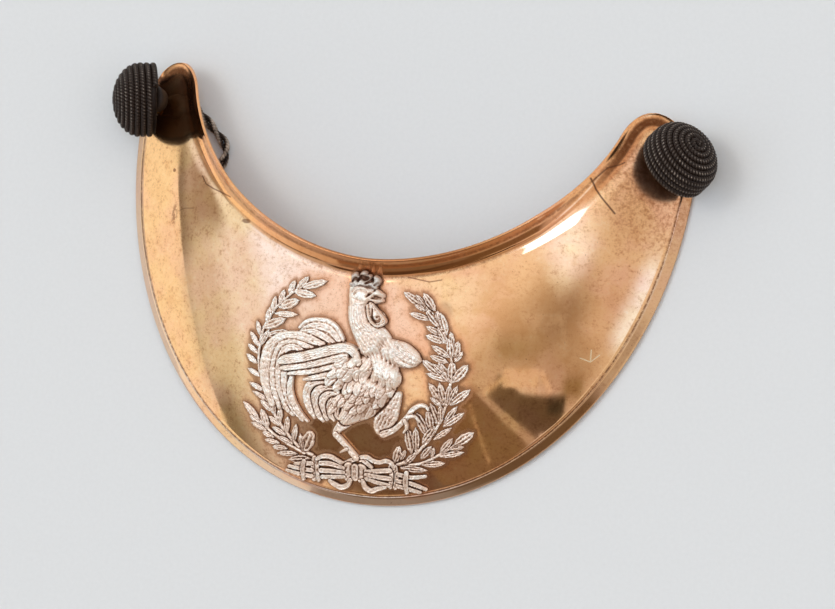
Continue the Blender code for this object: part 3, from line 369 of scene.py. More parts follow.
# Thighs, shanks, claws and spurs
LEGS = (
    ((-1.0, -33.0, 2.6), (-3.0, -35.6, 1.8), (-5.0, -37.9, 1.1), (-5.8, -39.4, 0.85)),
    ((-5.7, -39.4, 0.8), (-3.6, -41.3, 0.75), (-1.5, -43.3, 0.75), (0.3, -45.2, 0.8)),
    ((-2.4, -43.0, 0.5), (-4.2, -44.1, 0.25)),
    ((11.7, -26.6, 0.8), (10.3, -29.8, 1.9), (8.5, -33.2, 2.9), (7.3, -35.6, 2.3), (7.8, -37.6, 1.2)),
    ((7.8, -37.7, 1.0), (10.5, -36.3, 0.8), (12.5, -34.4, 0.7), (14.3, -32.2, 0.7), (15.6, -30.2, 0.65),
     (17.4, -28.9, 0.55), (19.0, -28.9, 0.4), (19.8, -29.8, 0.25)),
    ((14.3, -32.3, 0.5), (16.2, -31.9, 0.45), (17.6, -33.2, 0.25)),
    ((13.6, -33.4, 0.5), (14.2, -35.0, 0.45), (13.4, -36.6, 0.25)),
)

# Ribbon bow and the bands that bind the stems
BOW = (
    ((-11.9, -46.7, 0.6), (-12.4, -49.5, 0.6), (-12.0, -52.6, 0.6)),
    ((-10.7, -46.5, 0.6), (-11.1, -49.5, 0.6), (-10.7, -52.6, 0.6)),
    ((9.9, -46.3, 0.6), (10.2, -49.0, 0.6), (9.8, -52.0, 0.6)),
    ((11.2, -46.3, 0.6), (11.6, -49.0, 0.6), (11.2, -52.0, 0.6)),
    ((-11.2, -47.0, 0.5), (-9.5, -46.0, 0.65), (-7.2, -45.8, 0.65), (-5.0, -46.6, 0.6), (-3.3, -47.2, 0.6),
     (-1.5, -46.2, 0.65), (0.7, -45.4, 0.7), (2.8, -45.9, 0.7), (4.6, -47.2, 0.5)),
    ((1.2, -44.9, 0.5), (3.2, -44.6, 0.6), (5.0, -45.4, 0.6), (6.8, -45.6, 0.6), (8.6, -45.0, 0.6),
     (10.2, -45.5, 0.6), (10.8, -46.8, 0.5)),
    ((-1.8, -48.1, 1.7), (-1.9, -50.6, 1.6)),
    ((1.7, -48.1, 1.7), (1.7, -50.4, 1.6)),
    ((-0.1, -47.8, 1.1), (-0.1, -50.6, 1.1)),
    ((-10.0, -47.9, 0.7), (-7.0, -47.7, 0.75), (-3.4, -48.4, 0.6)),
    ((-10.0, -49.9, 0.7), (-7.0, -49.7, 0.7), (-3.4, -49.6, 0.6)),
    ((-9.6, -51.6, 0.6), (-6.5, -51.2, 0.6), (-3.2, -50.8, 0.5)),
    ((3.0, -48.6, 0.6), (6.5, -48.0, 0.7), (9.8, -47.4, 0.7)),
    ((3.0, -49.5, 0.6), (6.5, -49.6, 0.7), (9.8, -49.7, 0.7)),
    ((3.0, -50.5, 0.5), (6.5, -51.2, 0.6), (9.6, -51.6, 0.6)),
    ((-1.4, -51.4, 0.6), (-2.3, -53.0, 0.75), (-4.2, -53.8, 0.8), (-5.9, -53.2, 0.7), (-7.4, -52.4, 0.5)),
    ((2.1, -51.2, 0.6), (2.8, -52.9, 0.8), (4.5, -53.7, 0.8), (6.3, -52.9, 0.7), (8.4, -52.2, 0.5)),
    ((-12.6, -48.3, 0.6), (-15.0, -48.7, 0.65), (-17.6, -49.1, 0.5)),
    ((-12.6, -50.2, 0.6), (-16.0, -50.2, 0.6), (-19.5, -50.0, 0.45)),
    ((-12.6, -51.8, 0.6), (-16.0, -51.7, 0.6), (-20.3, -51.2, 0.4)),
    ((11.8, -48.2, 0.6), (15.6, -48.6, 0.6), (19.4, -47.9, 0.45)),
    ((11.8, -50.0, 0.6), (15.6, -50.3, 0.6), (19.6, -51.4, 0.45)),
    ((11.8, -51.4, 0.6), (15.0, -51.9, 0.6), (18.0, -52.4, 0.45)),
    ((-15.0, -48.0, 0.6), (-15.4, -50.5, 0.75), (-15.2, -53.0, 0.5)),
    ((14.3, -47.6, 0.7), (14.0, -50.3, 0.8), (14.4, -52.8, 0.6)),
)

# Neck feathers: long strands side by side between two guide lines, in tiers from the breast up to the head
NECK_BACK = ((-3.9, -3.2), (-4.1, -7.7), (-3.1, -10.8), (-0.1, -14.1), (2.4, -17.6))
NECK_FRONT = ((1.6, -3.8), (3.4, -8.8), (7.0, -11.2), (9.6, -14.4), (10.2, -19.4))
GUIDE_POINTS = 40
STRANDS_ACROSS = 8
STRAND_FILL = 0.62  # half width of a strand, as a share of the room it has
STRAND_TIERS = ((0.62, 1.0), (0.34, 0.76), (0.0, 0.46))  # shares of the guide lines

# Feathers: rows of small overlapping tongues, from the lowest row up, each laid over the ones before it
BREAST_ROWS = (
    # x and y of the first root, of the last root, count, first and last direction, length, half_width
    (-4.2, -30.6, 1.6, -32.0, 4, 232, 236, 4.6, 1.05),
    (-2.8, -28.4, 5.6, -29.8, 6, 226, 236, 4.6, 1.1),
    (-0.4, -26.0, 8.4, -27.0, 6, 226, 244, 4.6, 1.1),
    (1.6, -23.6, 10.2, -24.4, 6, 232, 254, 4.4, 1.1),
    (3.2, -21.4, 11.0, -21.8, 5, 244, 262, 4.2, 1.05),
    (4.0, -19.2, 10.8, -19.2, 5, 254, 270, 4.0, 1.0),
)
WING_COVERT_ROWS = (
    (-5.8, -23.8, 1.4, -24.8, 5, 228, 246, 3.4, 1.25),
    (-4.8, -21.2, 2.6, -21.8, 5, 224, 244, 3.4, 1.25),
    (-3.0, -18.6, 2.8, -18.4, 4, 216, 236, 3.2, 1.15),
)
# Far wing, which shows beyond the breast
FAR_WING = (
    ((10.4, -13.0, 0.55), (13.2, -15.2, 0.6), (16.4, -16.6, 0.4)),
    ((9.6, -14.6, 0.55), (12.6, -16.6, 0.6), (15.6, -17.6, 0.4)),
    ((9.0, -16.2, 0.55), (11.8, -17.9, 0.6), (14.2, -18.6, 0.4)),
)


def lengths_along(points):
    """Length along a polyline up to each of its points."""
    steps = np.linalg.norm(np.diff(points, axis=0), axis=1)
    return np.concatenate([[0.0], np.cumsum(steps)])


def along(points, count):
    """Points spaced evenly by length along a polyline."""
    points = np.asarray(points, float)
    reached = lengths_along(points)
    wanted = np.linspace(0.0, reached[-1], count)
    return np.column_stack([np.interp(wanted, reached, column) for column in points.T])


def unit(vectors):
    return vectors / np.linalg.norm(vectors, axis=-1, keepdims=True)


def bezier(start, handle_1, handle_2, end, shares):
    """Points of a cubic curve at the given shares of its way."""
    k = np.asarray(shares, float)[:, None]
    return (1 - k) ** 3 * start + 3 * (1 - k) ** 2 * k * handle_1 + 3 * (1 - k) * k**2 * handle_2 + k**3 * end


def smooth_route(points, step):
    """A smooth curve through the points, with all their columns."""
    points = np.asarray(points, float)
    padded = np.vstack([2 * points[0] - points[1], points, 2 * points[-1] - points[-2]])
    rows = []
    for i in range(1, len(padded) - 2):
        a, b, c, d = padded[i - 1 : i + 3]
        count = max(1, int(np.ceil(np.linalg.norm((c - b)[:2]) / step)))
        for t in np.linspace(0.0, 1.0, count, endpoint=False):
            rows.append(b + 0.5 * t * (c - a + t * (2 * a - 5 * b + 4 * c - d + t * (3 * (b - c) + d - a))))
    return np.array(rows + [padded[-2]])


def ridge(where, centre, width):
    """1 at the centre, falling smoothly to 0 on both sides."""
    return np.exp(-(((where - centre) / width) ** 2))


def uneven(x, y, *patterns):
    """Smooth chance heights over plan points, added up from patterns of (scale, slice, share)."""
    heights = np.zeros(np.size(x))
    for scale, level, share in patterns:
        places = zip(np.ravel(x), np.ravel(y))
        heights += share * np.array([noise.noise(Vector((u, v, level)) * scale) for u, v in places])
    return heights.reshape(np.shape(x))


# ---- outline and surface of the plate ----


def superellipse(half_width, rise, power, sweep):
    return half_width * np.sin(sweep) ** (2 / power), rise * np.cos(sweep) ** (2 / power)


# Sweep at which the neck edge passes into the horn tip
NECK_TOP_SWEEP = np.arccos(((NECK_BOTTOM_Y + NECK_RISE - NECK_TOP_Y) / NECK_RISE) ** (NECK_POWER / 2))


def neck_curve(sweep):
    """The neck edge below the horn tips, from its lowest point outwards."""
    x, fall = superellipse(NECK_HALF_WIDTH, NECK_RISE, NECK_POWER, sweep)
    return np.stack([x, NECK_BOTTOM_Y + NECK_RISE - fall], axis=-1)


def tip_curve(shares):
    """The round horn tip, from the top of the neck edge to the top of the shoulder."""
    start = neck_curve(NECK_TOP_SWEEP)
    leaving = start - neck_curve(NECK_TOP_SWEEP - 0.01)
    end = np.array([HALF_WIDTH - SHOULDER_TURN_IN, WIDEST_Y + SHOULDER_RISE])
    arriving = np.array([2 * SHOULDER_TURN_IN, -SHOULDER_RISE])
    return bezier(start, start + TIP_REACH * unit(leaving), end - TIP_REACH * unit(arriving), end, shares)


def neck_side(tip_share, count=800, tip_count=120):
    """Right half of the neck edge, from its lowest point round onto the horn tip."""
    edge = neck_curve(np.linspace(0.0, NECK_TOP_SWEEP, count))
    return np.vstack([edge[:-1], tip_curve(np.linspace(0.0, tip_share, tip_count))])


def rim_side(tip_share, count=1200, shoulder_count=60, tip_count=120):
    """Right half of the outer rim, from the bottom up over the shoulder onto the horn tip."""
    x, fall = superellipse(HALF_WIDTH, RIM_DROP, RIM_POWER, np.linspace(0.0, pi / 2, count))
    k = np.linspace(0.0, 1.0, shoulder_count)[1:-1]
    shoulder = np.column_stack([HALF_WIDTH - SHOULDER_TURN_IN * k**2, WIDEST_Y + SHOULDER_RISE * k])
    tip = tip_curve(np.linspace(1.0, 1 - tip_share, tip_count))
    return np.vstack([np.column_stack([x, WIDEST_Y - fall]), shoulder, tip])


def both_halves(half):
    """A right half with its mirror image before it."""
    mirrored = half[::-1] * np.array([-1.0, 1.0])
    return np.vstack([mirrored[:-1], half])


class Edge:
    """One edge line of the plate, which tells how far a plan point is from it."""

    def __init__(self, half):
        self.points = along(both_halves(half), EDGE_POINTS)
        self.tree = KDTree(len(self.points))
        for number, (x, y) in enumerate(self.points):
            self.tree.insert((x, y, 0.0), number)
        self.tree.balance()

    def distance(self, x, y):
        found = [self.tree.find((u, v, 0.0))[2] for u, v in zip(np.ravel(x), np.ravel(y))]
        return np.reshape(found, np.shape(x))


NECK = Edge(neck_side(tip_share=0.75))
RIM = Edge(rim_side(tip_share=0.05))


def dome(x, y):
    """Height of the bare dome, which is 0 at its crown."""
    bowl = x**2 / (2 * DOME_RADIUS_X) + y**2 / (2 * DOME_RADIUS_Y)
    return -(bowl + DOME_STEEPENING * x**4 + DOME_TWIST * x**2 * y)


def dome_normal(x, y):
    slope_x = x / DOME_RADIUS_X + 4 * DOME_STEEPENING * x**3 + 2 * DOME_TWIST * x * y
    slope_y = y / DOME_RADIUS_Y + DOME_TWIST * x**2
    return unit(np.stack([slope_x, slope_y, np.ones_like(np.asarray(x, float))], axis=-1))


def surface(x, y):
    """Height of the plate's upper face: the dome, its out-turned neck flange and its falling border."""
    share = 1 - (1 - FLANGE_LEFT) * np.interp(np.abs(x), FLANGE_FADES, (0, 1))
    inward = np.clip(1 - NECK.distance(x, y) / (FLANGE_WIDTH * share), 0, 1)
    outward = np.clip(1 - RIM.distance(x, y) / BORDER_WIDTH, 0, 1)
    return dome(x, y) + FLANGE_RISE * share**2 * inward**2 - BORDER_DROP * outward


def on_plate(x, y, lift):
    """The point that stands off the upper face by lift, along the dome's normal."""
    x, y = np.asarray(x, float), np.asarray(y, float)
    foot = np.stack([x, y, surface(x, y)], axis=-1)
    return foot + dome_normal(x, y) * np.asarray(lift, float)[..., None]


class Lay:
    """Tips plan points onto the table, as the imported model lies, and scales them to metres."""

    def __init__(self):
        # It lies on the bottom of its rim and on the side points that meet the table first
        x, y = RIM.points[::40].T
        low = surface(x, y) - WALL * dome_normal(x, y)[:, 2]
        bottom = np.argmin(y)
        sides = y > 0
        self.angle = -min(atan2(z - low[bottom], v - y[bottom]) for z, v in zip(low[sides], y[sides]))
        self.turn = np.array(Matrix.Rotation(self.angle, 3, "X"))
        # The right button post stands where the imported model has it
        lowest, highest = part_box("button_post_right")
        middle = on_plate(BUTTON_X, BUTTON_Y, (BUTTON_STAND_OFF - GAP - WALL - POST_BELOW) / 2)
        self.shift = np.array((lowest + highest) / 2) - self.turn @ middle * MM

    def __call__(self, points):
        return np.asarray(points, float) @ self.turn.T * MM + self.shift


LAY = Lay()


# ---- meshes ----


def new_piece(name, points, faces, finish, smooth=True):
    """A mesh piece from points in metres."""
    mesh = bpy.data.meshes.new(name)
    mesh.from_pydata([tuple(p) for p in points], [], [tuple(f) for f in faces])
    mesh.materials.append(finish)
    if smooth:
        mesh.shade_smooth()
    piece = bpy.data.objects.new(name, mesh)
    bpy.context.scene.collection.objects.link(piece)
    return piece


def paint(piece, name, values):
    """Keeps one number for each point of the mesh, for its finish to read."""
    kept = piece.data.attributes.new(name, "FLOAT", "POINT")
    kept.data.foreach_set("value", np.asarray(values, np.float32).ravel())


def ring_faces(rings, sides, ends=True):
    """Quads between rings of points, numbered ring by ring, and a face over each end."""
    i, j = np.meshgrid(np.arange(rings - 1) * sides, np.arange(sides), indexing="ij")
    k = (j + 1) % sides
    faces = [tuple(f) for f in np.stack([i + j, i + k, i + sides + k, i + sides + j], -1).reshape(-1, 4)]
    if ends:
        last = (rings - 1) * sides
        faces += [tuple(range(sides))[::-1], tuple(range(last, last + sides))]
    return faces


def tube(path, radius, sides=PLY_SIDES, guide=(0.21, 0.13, 0.97)):
    """A round tube along a path, closed at both ends. guide is a way that the path never takes."""
    ahead = unit(np.gradient(path, axis=0))
    across = unit(np.cross(ahead, guide))
    beside = np.cross(ahead, across)
    turn = np.linspace(0.0, 2 * pi, sides, endpoint=False)[:, None, None]
    ring = np.cos(turn) * across + np.sin(turn) * beside
    points = (path + radius * ring).transpose(1, 0, 2).reshape(-1, 3)
    return points, ring_faces(len(path), sides)


def joined(parts):
    """The points and faces of several meshes as those of one."""
    points, faces, first = [], [], 0
    for more, more_faces in parts:
        points.append(more)
        faces += [tuple(first + corner for corner in face) for face in more_faces]
        first += len(more)
    return np.vstack(points), faces


# ---- plate ----


def row_shares(rows, edge, ways, lengths, most):
    """Shares of each ruling at which the rows lie that keep their distance from an edge."""
    ahead = unit(np.gradient(edge, axis=0))
    slant = np.maximum(np.abs(ahead[:, 0] * ways[:, 1] - ahead[:, 1] * ways[:, 0]), CLOSEST_SLANT)
    squeeze = np.minimum(1.0, lengths / SHORTEST_FULL_RULING)
    shares = np.array(rows) * (squeeze / lengths / slant)[:, None]
    return shares * np.minimum(1.0, most / shares.max(axis=1))[:, None]


def rulings():
    """The plate's two edges in plan, and the points of its upper face on straight lines between them."""
    neck = both_halves(along(neck_side(TIP_END), COLUMNS))
    rim = both_halves(along(rim_side(TIP_END), COLUMNS))
    across = rim - neck
    lengths = np.linalg.norm(across, axis=1)
    ways = across / lengths[:, None]
    near = row_shares(NECK_ROWS, neck, ways, lengths, NECK_SHARE)
    far = 1 - row_shares(RIM_ROWS, rim, ways, lengths, RIM_SHARE)
    body = np.linspace(near[:, -1], far[:, 0], BODY_ROWS + 2, axis=1)[:, 1:-1]
    shares = np.concatenate([near, body, far], axis=1)
    return neck, rim, neck[:, None] + shares[..., None] * across[:, None]


def polished(x, y):
    """Height of the fine plate's upper face: slightly wavy, with a hollow along the foot of the flange."""
    waves = uneven(x, y, (1 / WAVE_LENGTH, 0.0, 1.0), (3 / WAVE_LENGTH, 9.0, 0.3))
    trough = ridge(NECK.distance(x, y), TROUGH_FROM_NECK, TROUGH_HALF_WIDTH)
    return surface(x, y) + WAVE * waves - TROUGH * trough


def polished_normal(x, y, step=0.05):
    """Outward direction of the fine plate's upper face."""
    slope_x = (polished(x + step, y) - polished(x - step, y)) / (2 * step)
    slope_y = (polished(x, y + step) - polished(x, y - step)) / (2 * step)
    return unit(np.stack([-slope_x, -slope_y, np.ones_like(x)], -1))


def edge_arc(corner, outside, normal):
    """Points of the sheet's rounded edge, from its upper face round to its lower one."""
    out = outside - corner
    out = out - (out * normal).sum(-1, keepdims=True) * normal
    steps = []
    for sweep in np.linspace(0.0, pi, EDGE_STEPS + 2)[1:-1]:
        reach = sin(sweep) ** EDGE_SQUARENESS
        drop = WALL / 2 * (1 - np.sign(cos(sweep)) * abs(cos(sweep)) ** EDGE_SQUARENESS)
        steps.append(corner + reach * out - drop * normal)
    return np.stack(steps, axis=1)


def engraved(from_rim, lengths):
    """Depth of the engraved border line, which runs out where the horns get narrow."""
    depth = GROOVE_DEPTH * np.clip(1 - np.abs(from_rim - BORDER_WIDTH) / GROOVE_HALF_WIDTH, 0, 1)
    fading = np.clip(lengths / SHORTEST_FULL_RULING - 0.6, 0, 1) / 0.4
    return np.minimum(depth * fading[:, None], GROOVE_DEPTH)


def fan(ring, middle):
    """Triangles from each side of a ring of points to its middle point."""
    return [(a, b, middle) for a, b in zip(ring, ring[1:] + ring[:1])]


def make_plate(finish, relief):
    """The domed crescent as one closed sheet, with its engraved border line and its four holes."""
    neck, rim, plan = rulings()
    x, y = plan[..., 0], plan[..., 1]
    normal = polished_normal(x, y)
    upper = np.stack([x, y, polished(x, y)], -1)
    lower = upper - WALL * normal
    groove = engraved(RIM.distance(x, y), np.linalg.norm(rim - neck, axis=1))
    upper = upper - groove[..., None] * normal
    rim_arc = edge_arc(upper[:, -1], np.column_stack([rim, surface(*rim.T)]), normal[:, -1])
    neck_arc = edge_arc(upper[:, 0], np.column_stack([neck, surface(*neck.T)]), normal[:, 0])
    section = np.concatenate([upper, rim_arc, lower[:, ::-1], neck_arc[:, ::-1]], axis=1)
    columns, around = section.shape[:2]
    total = columns * around
    points = np.vstack([section.reshape(-1, 3), section[0].mean(0), section[-1].mean(0)])
    faces = ring_faces(columns, around, ends=False)
    faces += fan(list(range(around))[::-1], total) + fan(list(range(total - around, total)), total + 1)
    piece = new_piece("gilt_plate", LAY(points), faces, finish)
    u, v = points[:, 0], points[:, 1]
    paint(piece, "from_rim", RIM.distance(u, v))
    paint(piece, "from_neck", NECK.distance(u, v))
    paint(piece, "from_emblem", -relief.cover_at(u, v))
    drill(piece)
    return piece


def rod(name, radius, low, high, place, finish=None):
    """A plain cylinder that stands on the plate's normal at a plan point."""
    path = on_plate(*place, 0.0) + np.outer((low, high), dome_normal(*place))
    points, faces = tube(path, radius, ROD_SIDES, guide=(0.0, 1.0, 0.0))
    return new_piece(name, LAY(points), faces, finish, smooth=False)


def drill(piece):
    """Cuts the holes of the pins and of the button posts."""
    holes = [(PIN_RADIUS + GAP, place) for place in PIN_PLACES]
    holes += [(POST_RADIUS + GAP, (side * BUTTON_X, BUTTON_Y)) for side in (-1, 1)]
    for radius, place in holes:
        cutter = rod("hole", radius, -HOLE_REACH, HOLE_REACH, place)
        boolean = piece.modifiers.new("hole", "BOOLEAN")
        boolean.operation = "DIFFERENCE"
        boolean.solver = "EXACT"
        boolean.object = cutter
        graph = bpy.context.evaluated_depsgraph_get()
        cut = bpy.data.meshes.new_from_object(piece.evaluated_get(graph))
        piece.modifiers.clear()
        bpy.data.objects.remove(cutter, do_unlink=True)
        piece.data = cut
    piece.data.shade_smooth()
    piece.data.set_sharp_from_angle(angle=radians(SHARP_ANGLE))


# ---- emblem ----


def rounded(crown):
    """A rounded ridge that falls to the sheet's edge."""
    return lambda k: SHEET_EDGE + (crown - SHEET_EDGE) * np.sqrt(np.clip(1 - k["out"] ** 2, 0, 1))


def leaf(crown):
    """A laurel leaf: a thin raised outline and midrib with hollows between them."""

    def height(k):
        bowl = 0.14 + 0.30 * (1 - k["out"] ** 2)
        lines = 0.55 * ridge(k["out"], 0.0, 0.17) + 0.5 * ridge(k["out"], 0.76, 0.16)
        veins = 0.10 * np.cos(2 * pi * (k["along"] - np.abs(k["side"])) / 1.1) * k["out"]
        return SHEET_EDGE + (crown - SHEET_EDGE) * (bowl + lines + veins)

    return height


def plume(crown, spacing):
    """A long feather, grooved along its length, with a raised border."""

    def height(k):
        wander = 0.12 * np.sin(1.9 * k["along"]) + 0.08 * np.sin(4.3 * k["along"] + 1.0)
        depth = 0.07 * (0.6 + 0.4 * np.sin(0.9 * k["along"]))
        strands = depth * np.cos(2 * pi * (k["side"] + wander) / spacing)
        swell = np.sqrt(np.clip(1 - 0.6 * k["out"] ** 6, 0, 1))
        lip = 0.10 * ridge(k["out"], 0.8, 0.14)
        return SHEET_EDGE + (crown - SHEET_EDGE) * (swell * 0.9 + lip + strands * (1 - k["out"] ** 4))

    return height


def ribbon(crown):
    """A flat band with a bead along each side and fine lines between them."""

    def height(k):
        bead = 0.28 * ridge(k["out"], 0.75, 0.2)
        lines = 0.07 * np.cos(2 * pi * k["side"] / 0.42)
        return SHEET_EDGE + (crown - SHEET_EDGE) * (0.72 + bead + lines) * (1 - k["out"] ** 8)

    return height


class Relief:
    """The emblem's stamped sheet: its height and its cover over a square grid in plan."""

    def __init__(self):
        self.x = np.arange(*RELIEF_X, RELIEF_GRID)
        self.y = np.arange(*RELIEF_Y, RELIEF_GRID)
        self.height = np.zeros((len(self.x), len(self.y)))
        self.cover = np.full(self.height.shape, -HALO_REACH)
        self.stain = np.zeros(self.height.shape)

    def stroke(self, rows, margin):
        """The grid window round a stroke, and for each point of it how the stroke lies there."""
        rows = np.asarray(rows, float)
        reach = rows[:, 2].max() + margin
        i = slice(*np.searchsorted(self.x, (rows[:, 0].min() - reach, rows[:, 0].max() + reach)))
        j = slice(*np.searchsorted(self.y, (rows[:, 1].min() - reach, rows[:, 1].max() + reach)))
        x, y = np.meshgrid(self.x[i], self.y[j], indexing="ij")
        best = {"cover": np.full(x.shape, -99.0), "out": x * 0, "side": x * 0, "along": x * 0}
        done = 0.0
        for (ax, ay, aw), (bx, by, bw) in zip(rows[:-1], rows[1:]):
            length = max(np.hypot(bx - ax, by - ay), 1e-6)
            ux, uy = (bx - ax) / length, (by - ay) / length
            t = np.clip(((x - ax) * ux + (y - ay) * uy) / length, 0, 1)
            px, py = x - ax - t * length * ux, y - ay - t * length * uy
            width = np.maximum(aw + (bw - aw) * t, 0.05)
            away = np.hypot(px, py)
            nearer = width - away > best["cover"]
            found = {
                "cover": width - away,
                "out": away / width,
                "side": ux * py - uy * px,
                "along": done + t * length,
            }
            for key, value in found.items():
                best[key] = np.where(nearer, value, best[key])
            done += length
        best["out"] = np.clip(best["out"], 0, 1)
        best["share"] = best["along"] / done
        return (i, j), best

    def add(self, rows, profile, undercut=UNDERCUT):
        """Lays a stroke over what is there: its own profile inside, a chased line round it."""
        window, k = self.stroke(rows, HALO_REACH)
        height, cover = self.height[window], self.cover[window]
        self.cover[window] = np.maximum(cover, k["cover"])
        chased = undercut * np.clip(1 + k["cover"] / CHASED_WIDTH, 0, 1) * (k["cover"] <= 0)
        beside = SHEET_EDGE + (height - SHEET_EDGE) * (1 - chased)
        own = np.where(k["cover"] > -OUTER_CELLS * RELIEF_GRID, np.maximum(profile(k), 0.55 * height), 0)
        outside = np.where(cover > 0, beside, np.maximum(own, height))
        self.height[window] = np.where(k["cover"] > 0, own, outside)

    def add_all(self, strokes, profile, undercut=UNDERCUT, wider=1.0, step=STROKE_STEP):
        """Lays a group of strokes, smoothed and made wider by a factor."""
        for rows in strokes:
            self.add(smooth_route(rows, step) * (1, 1, wider), profile, undercut)

    def swell(self, rows, profile, stain=0.0):
        """Lets a stroke grow out of what is there, with no line round it."""
        window, k = self.stroke(smooth_route(rows, STROKE_STEP), HALO_REACH)
        self.cover[window] = np.maximum(self.cover[window], k["cover"])
        own = np.where(k["cover"] > -OUTER_CELLS * RELIEF_GRID, profile(k), 0)
        self.height[window] = np.maximum(self.height[window], own)
        if stain:
            self.stain[window] = np.where(k["cover"] > 0, stain, self.stain[window])

    def cut_in(self, rows, depth):
        """Presses a rounded hollow into the sheet."""
        window, k = self.stroke(smooth_route(rows, FINE_STEP), margin=0.4)
        pressed = depth * np.clip(1 + k["cover"] / HOLLOW_SLOPE, 0, 1) ** 2
        height = self.height[window]
        self.height[window] = np.maximum(height - pressed, np.minimum(height, SHEET_EDGE))

    def lay_over(self, rows, base, low, high, sunk=0.16):
        """Lays a small feather on the body: its root is tucked in and its tip stands proud."""
        window, k = self.stroke(smooth_route(rows, STROKE_STEP), margin=0.0)
        inside = (k["cover"] > 0) & (self.cover[window] > 0.15)
        lift = low + (high - low) * k["share"]
        edge = np.sqrt(np.clip(k["cover"] / 0.3, 0, 1))
        lines = 0.10 * ridge(k["side"], 0.0, 0.14) - 0.10 * ridge(np.abs(k["side"]), 0.42, 0.15)
        height = base[window] - sunk + (lift + sunk) * edge + lines * (0.4 + 0.6 * k["share"])
        self.height[window] = np.where(inside, height, self.height[window])

    def blurred(self, values, reach):
        """The values averaged over their neighbourhood."""
        offsets = [np.fft.fftfreq(n, 1 / RELIEF_GRID / n) for n in values.shape]
        weight = np.exp(-(offsets[0][:, None] ** 2 + offsets[1] ** 2) / (2 * reach**2))
        weight /= weight.sum()
        return np.fft.irfft2(np.fft.rfft2(values) * np.fft.rfft2(weight), values.shape)

    def at(self, values, x, y):
        """The nearest grid value of each plan point."""
        i = np.clip(np.round((np.asarray(x) - self.x[0]) / RELIEF_GRID).astype(int), 0, len(self.x) - 1)
        j = np.clip(np.round((np.asarray(y) - self.y[0]) / RELIEF_GRID).astype(int), 0, len(self.y) - 1)
        return values[i, j]

    def cover_at(self, x, y):
        outside = (x < self.x[0]) | (x > self.x[-1]) | (y < self.y[0]) | (y > self.y[-1])
        return np.where(outside, -HALO_REACH, self.at(self.cover, x, y))


def leaf_rows(root_x, root_y, tip_x, tip_y, half_width):
    return [
        (root_x + (tip_x - root_x) * t, root_y + (tip_y - root_y) * t, half_width * share)
        for t, share in LEAF_SHAPE
    ]


def feather_row(relief, base, row, low, high):
    """A row of small feathers, each a little out of line as a chaser leaves them."""
    ax, ay, bx, by, count, first, last, length, half_width = row
    turned, longer, shifted = FEATHER_STRAY
    for t in np.linspace(0.0, 1.0, count):
        x, y, angle = ax + (bx - ax) * t, ay + (by - ay) * t, radians(first + (last - first) * t)
        stray = [noise.noise(Vector((x, y, 7.0 * number)) * 1.7) for number in (1, 2, 3)]
        angle, reach = angle + turned * stray[0], length * (1 + longer * stray[1])
        x, y = x + shifted * stray[2], y + shifted * stray[0]
        rows = []
        for share, width in FEATHER_SHAPE:
            bend = 0.5 * sin(pi * share) * np.sign(stray[1])
            rows.append((
                x + reach * share * cos(angle) - bend * sin(angle),
                y + reach * share * sin(angle) + bend * cos(angle),
                half_width * width,
            ))
        relief.lay_over(rows, base, low, high)


def neck_strands(relief, base):
    """Tiers of long strands between the two guide lines of the neck."""
    back, front = along(NECK_BACK, GUIDE_POINTS), along(NECK_FRONT, GUIDE_POINTS)
    last = GUIDE_POINTS - 1
    for tier, (start, end) in enumerate(STRAND_TIERS):
        for number in range(STRANDS_ACROSS):
            across = (number + 0.5 * (tier % 2)) / (STRANDS_ACROSS - 0.5)
            line = back + (front - back) * across
            stray = 0.06 * noise.noise(Vector((3.0 * number, 5.0 * tier, 1.5)))
            shares = np.clip(np.linspace(start + stray, end + 1.5 * stray, len(STRAND_TAPER)), 0, 1)
            line = np.array([line[int(round(last * share))] for share in shares])
            middle = int(last * shares[len(shares) // 2])
            width = STRAND_FILL * np.hypot(*(front - back).T)[middle] / STRANDS_ACROSS
            rows = np.column_stack([line, width * np.array(STRAND_TAPER)])
            relief.lay_over(rows, base, *STRAND_LIFT, sunk=0.08)


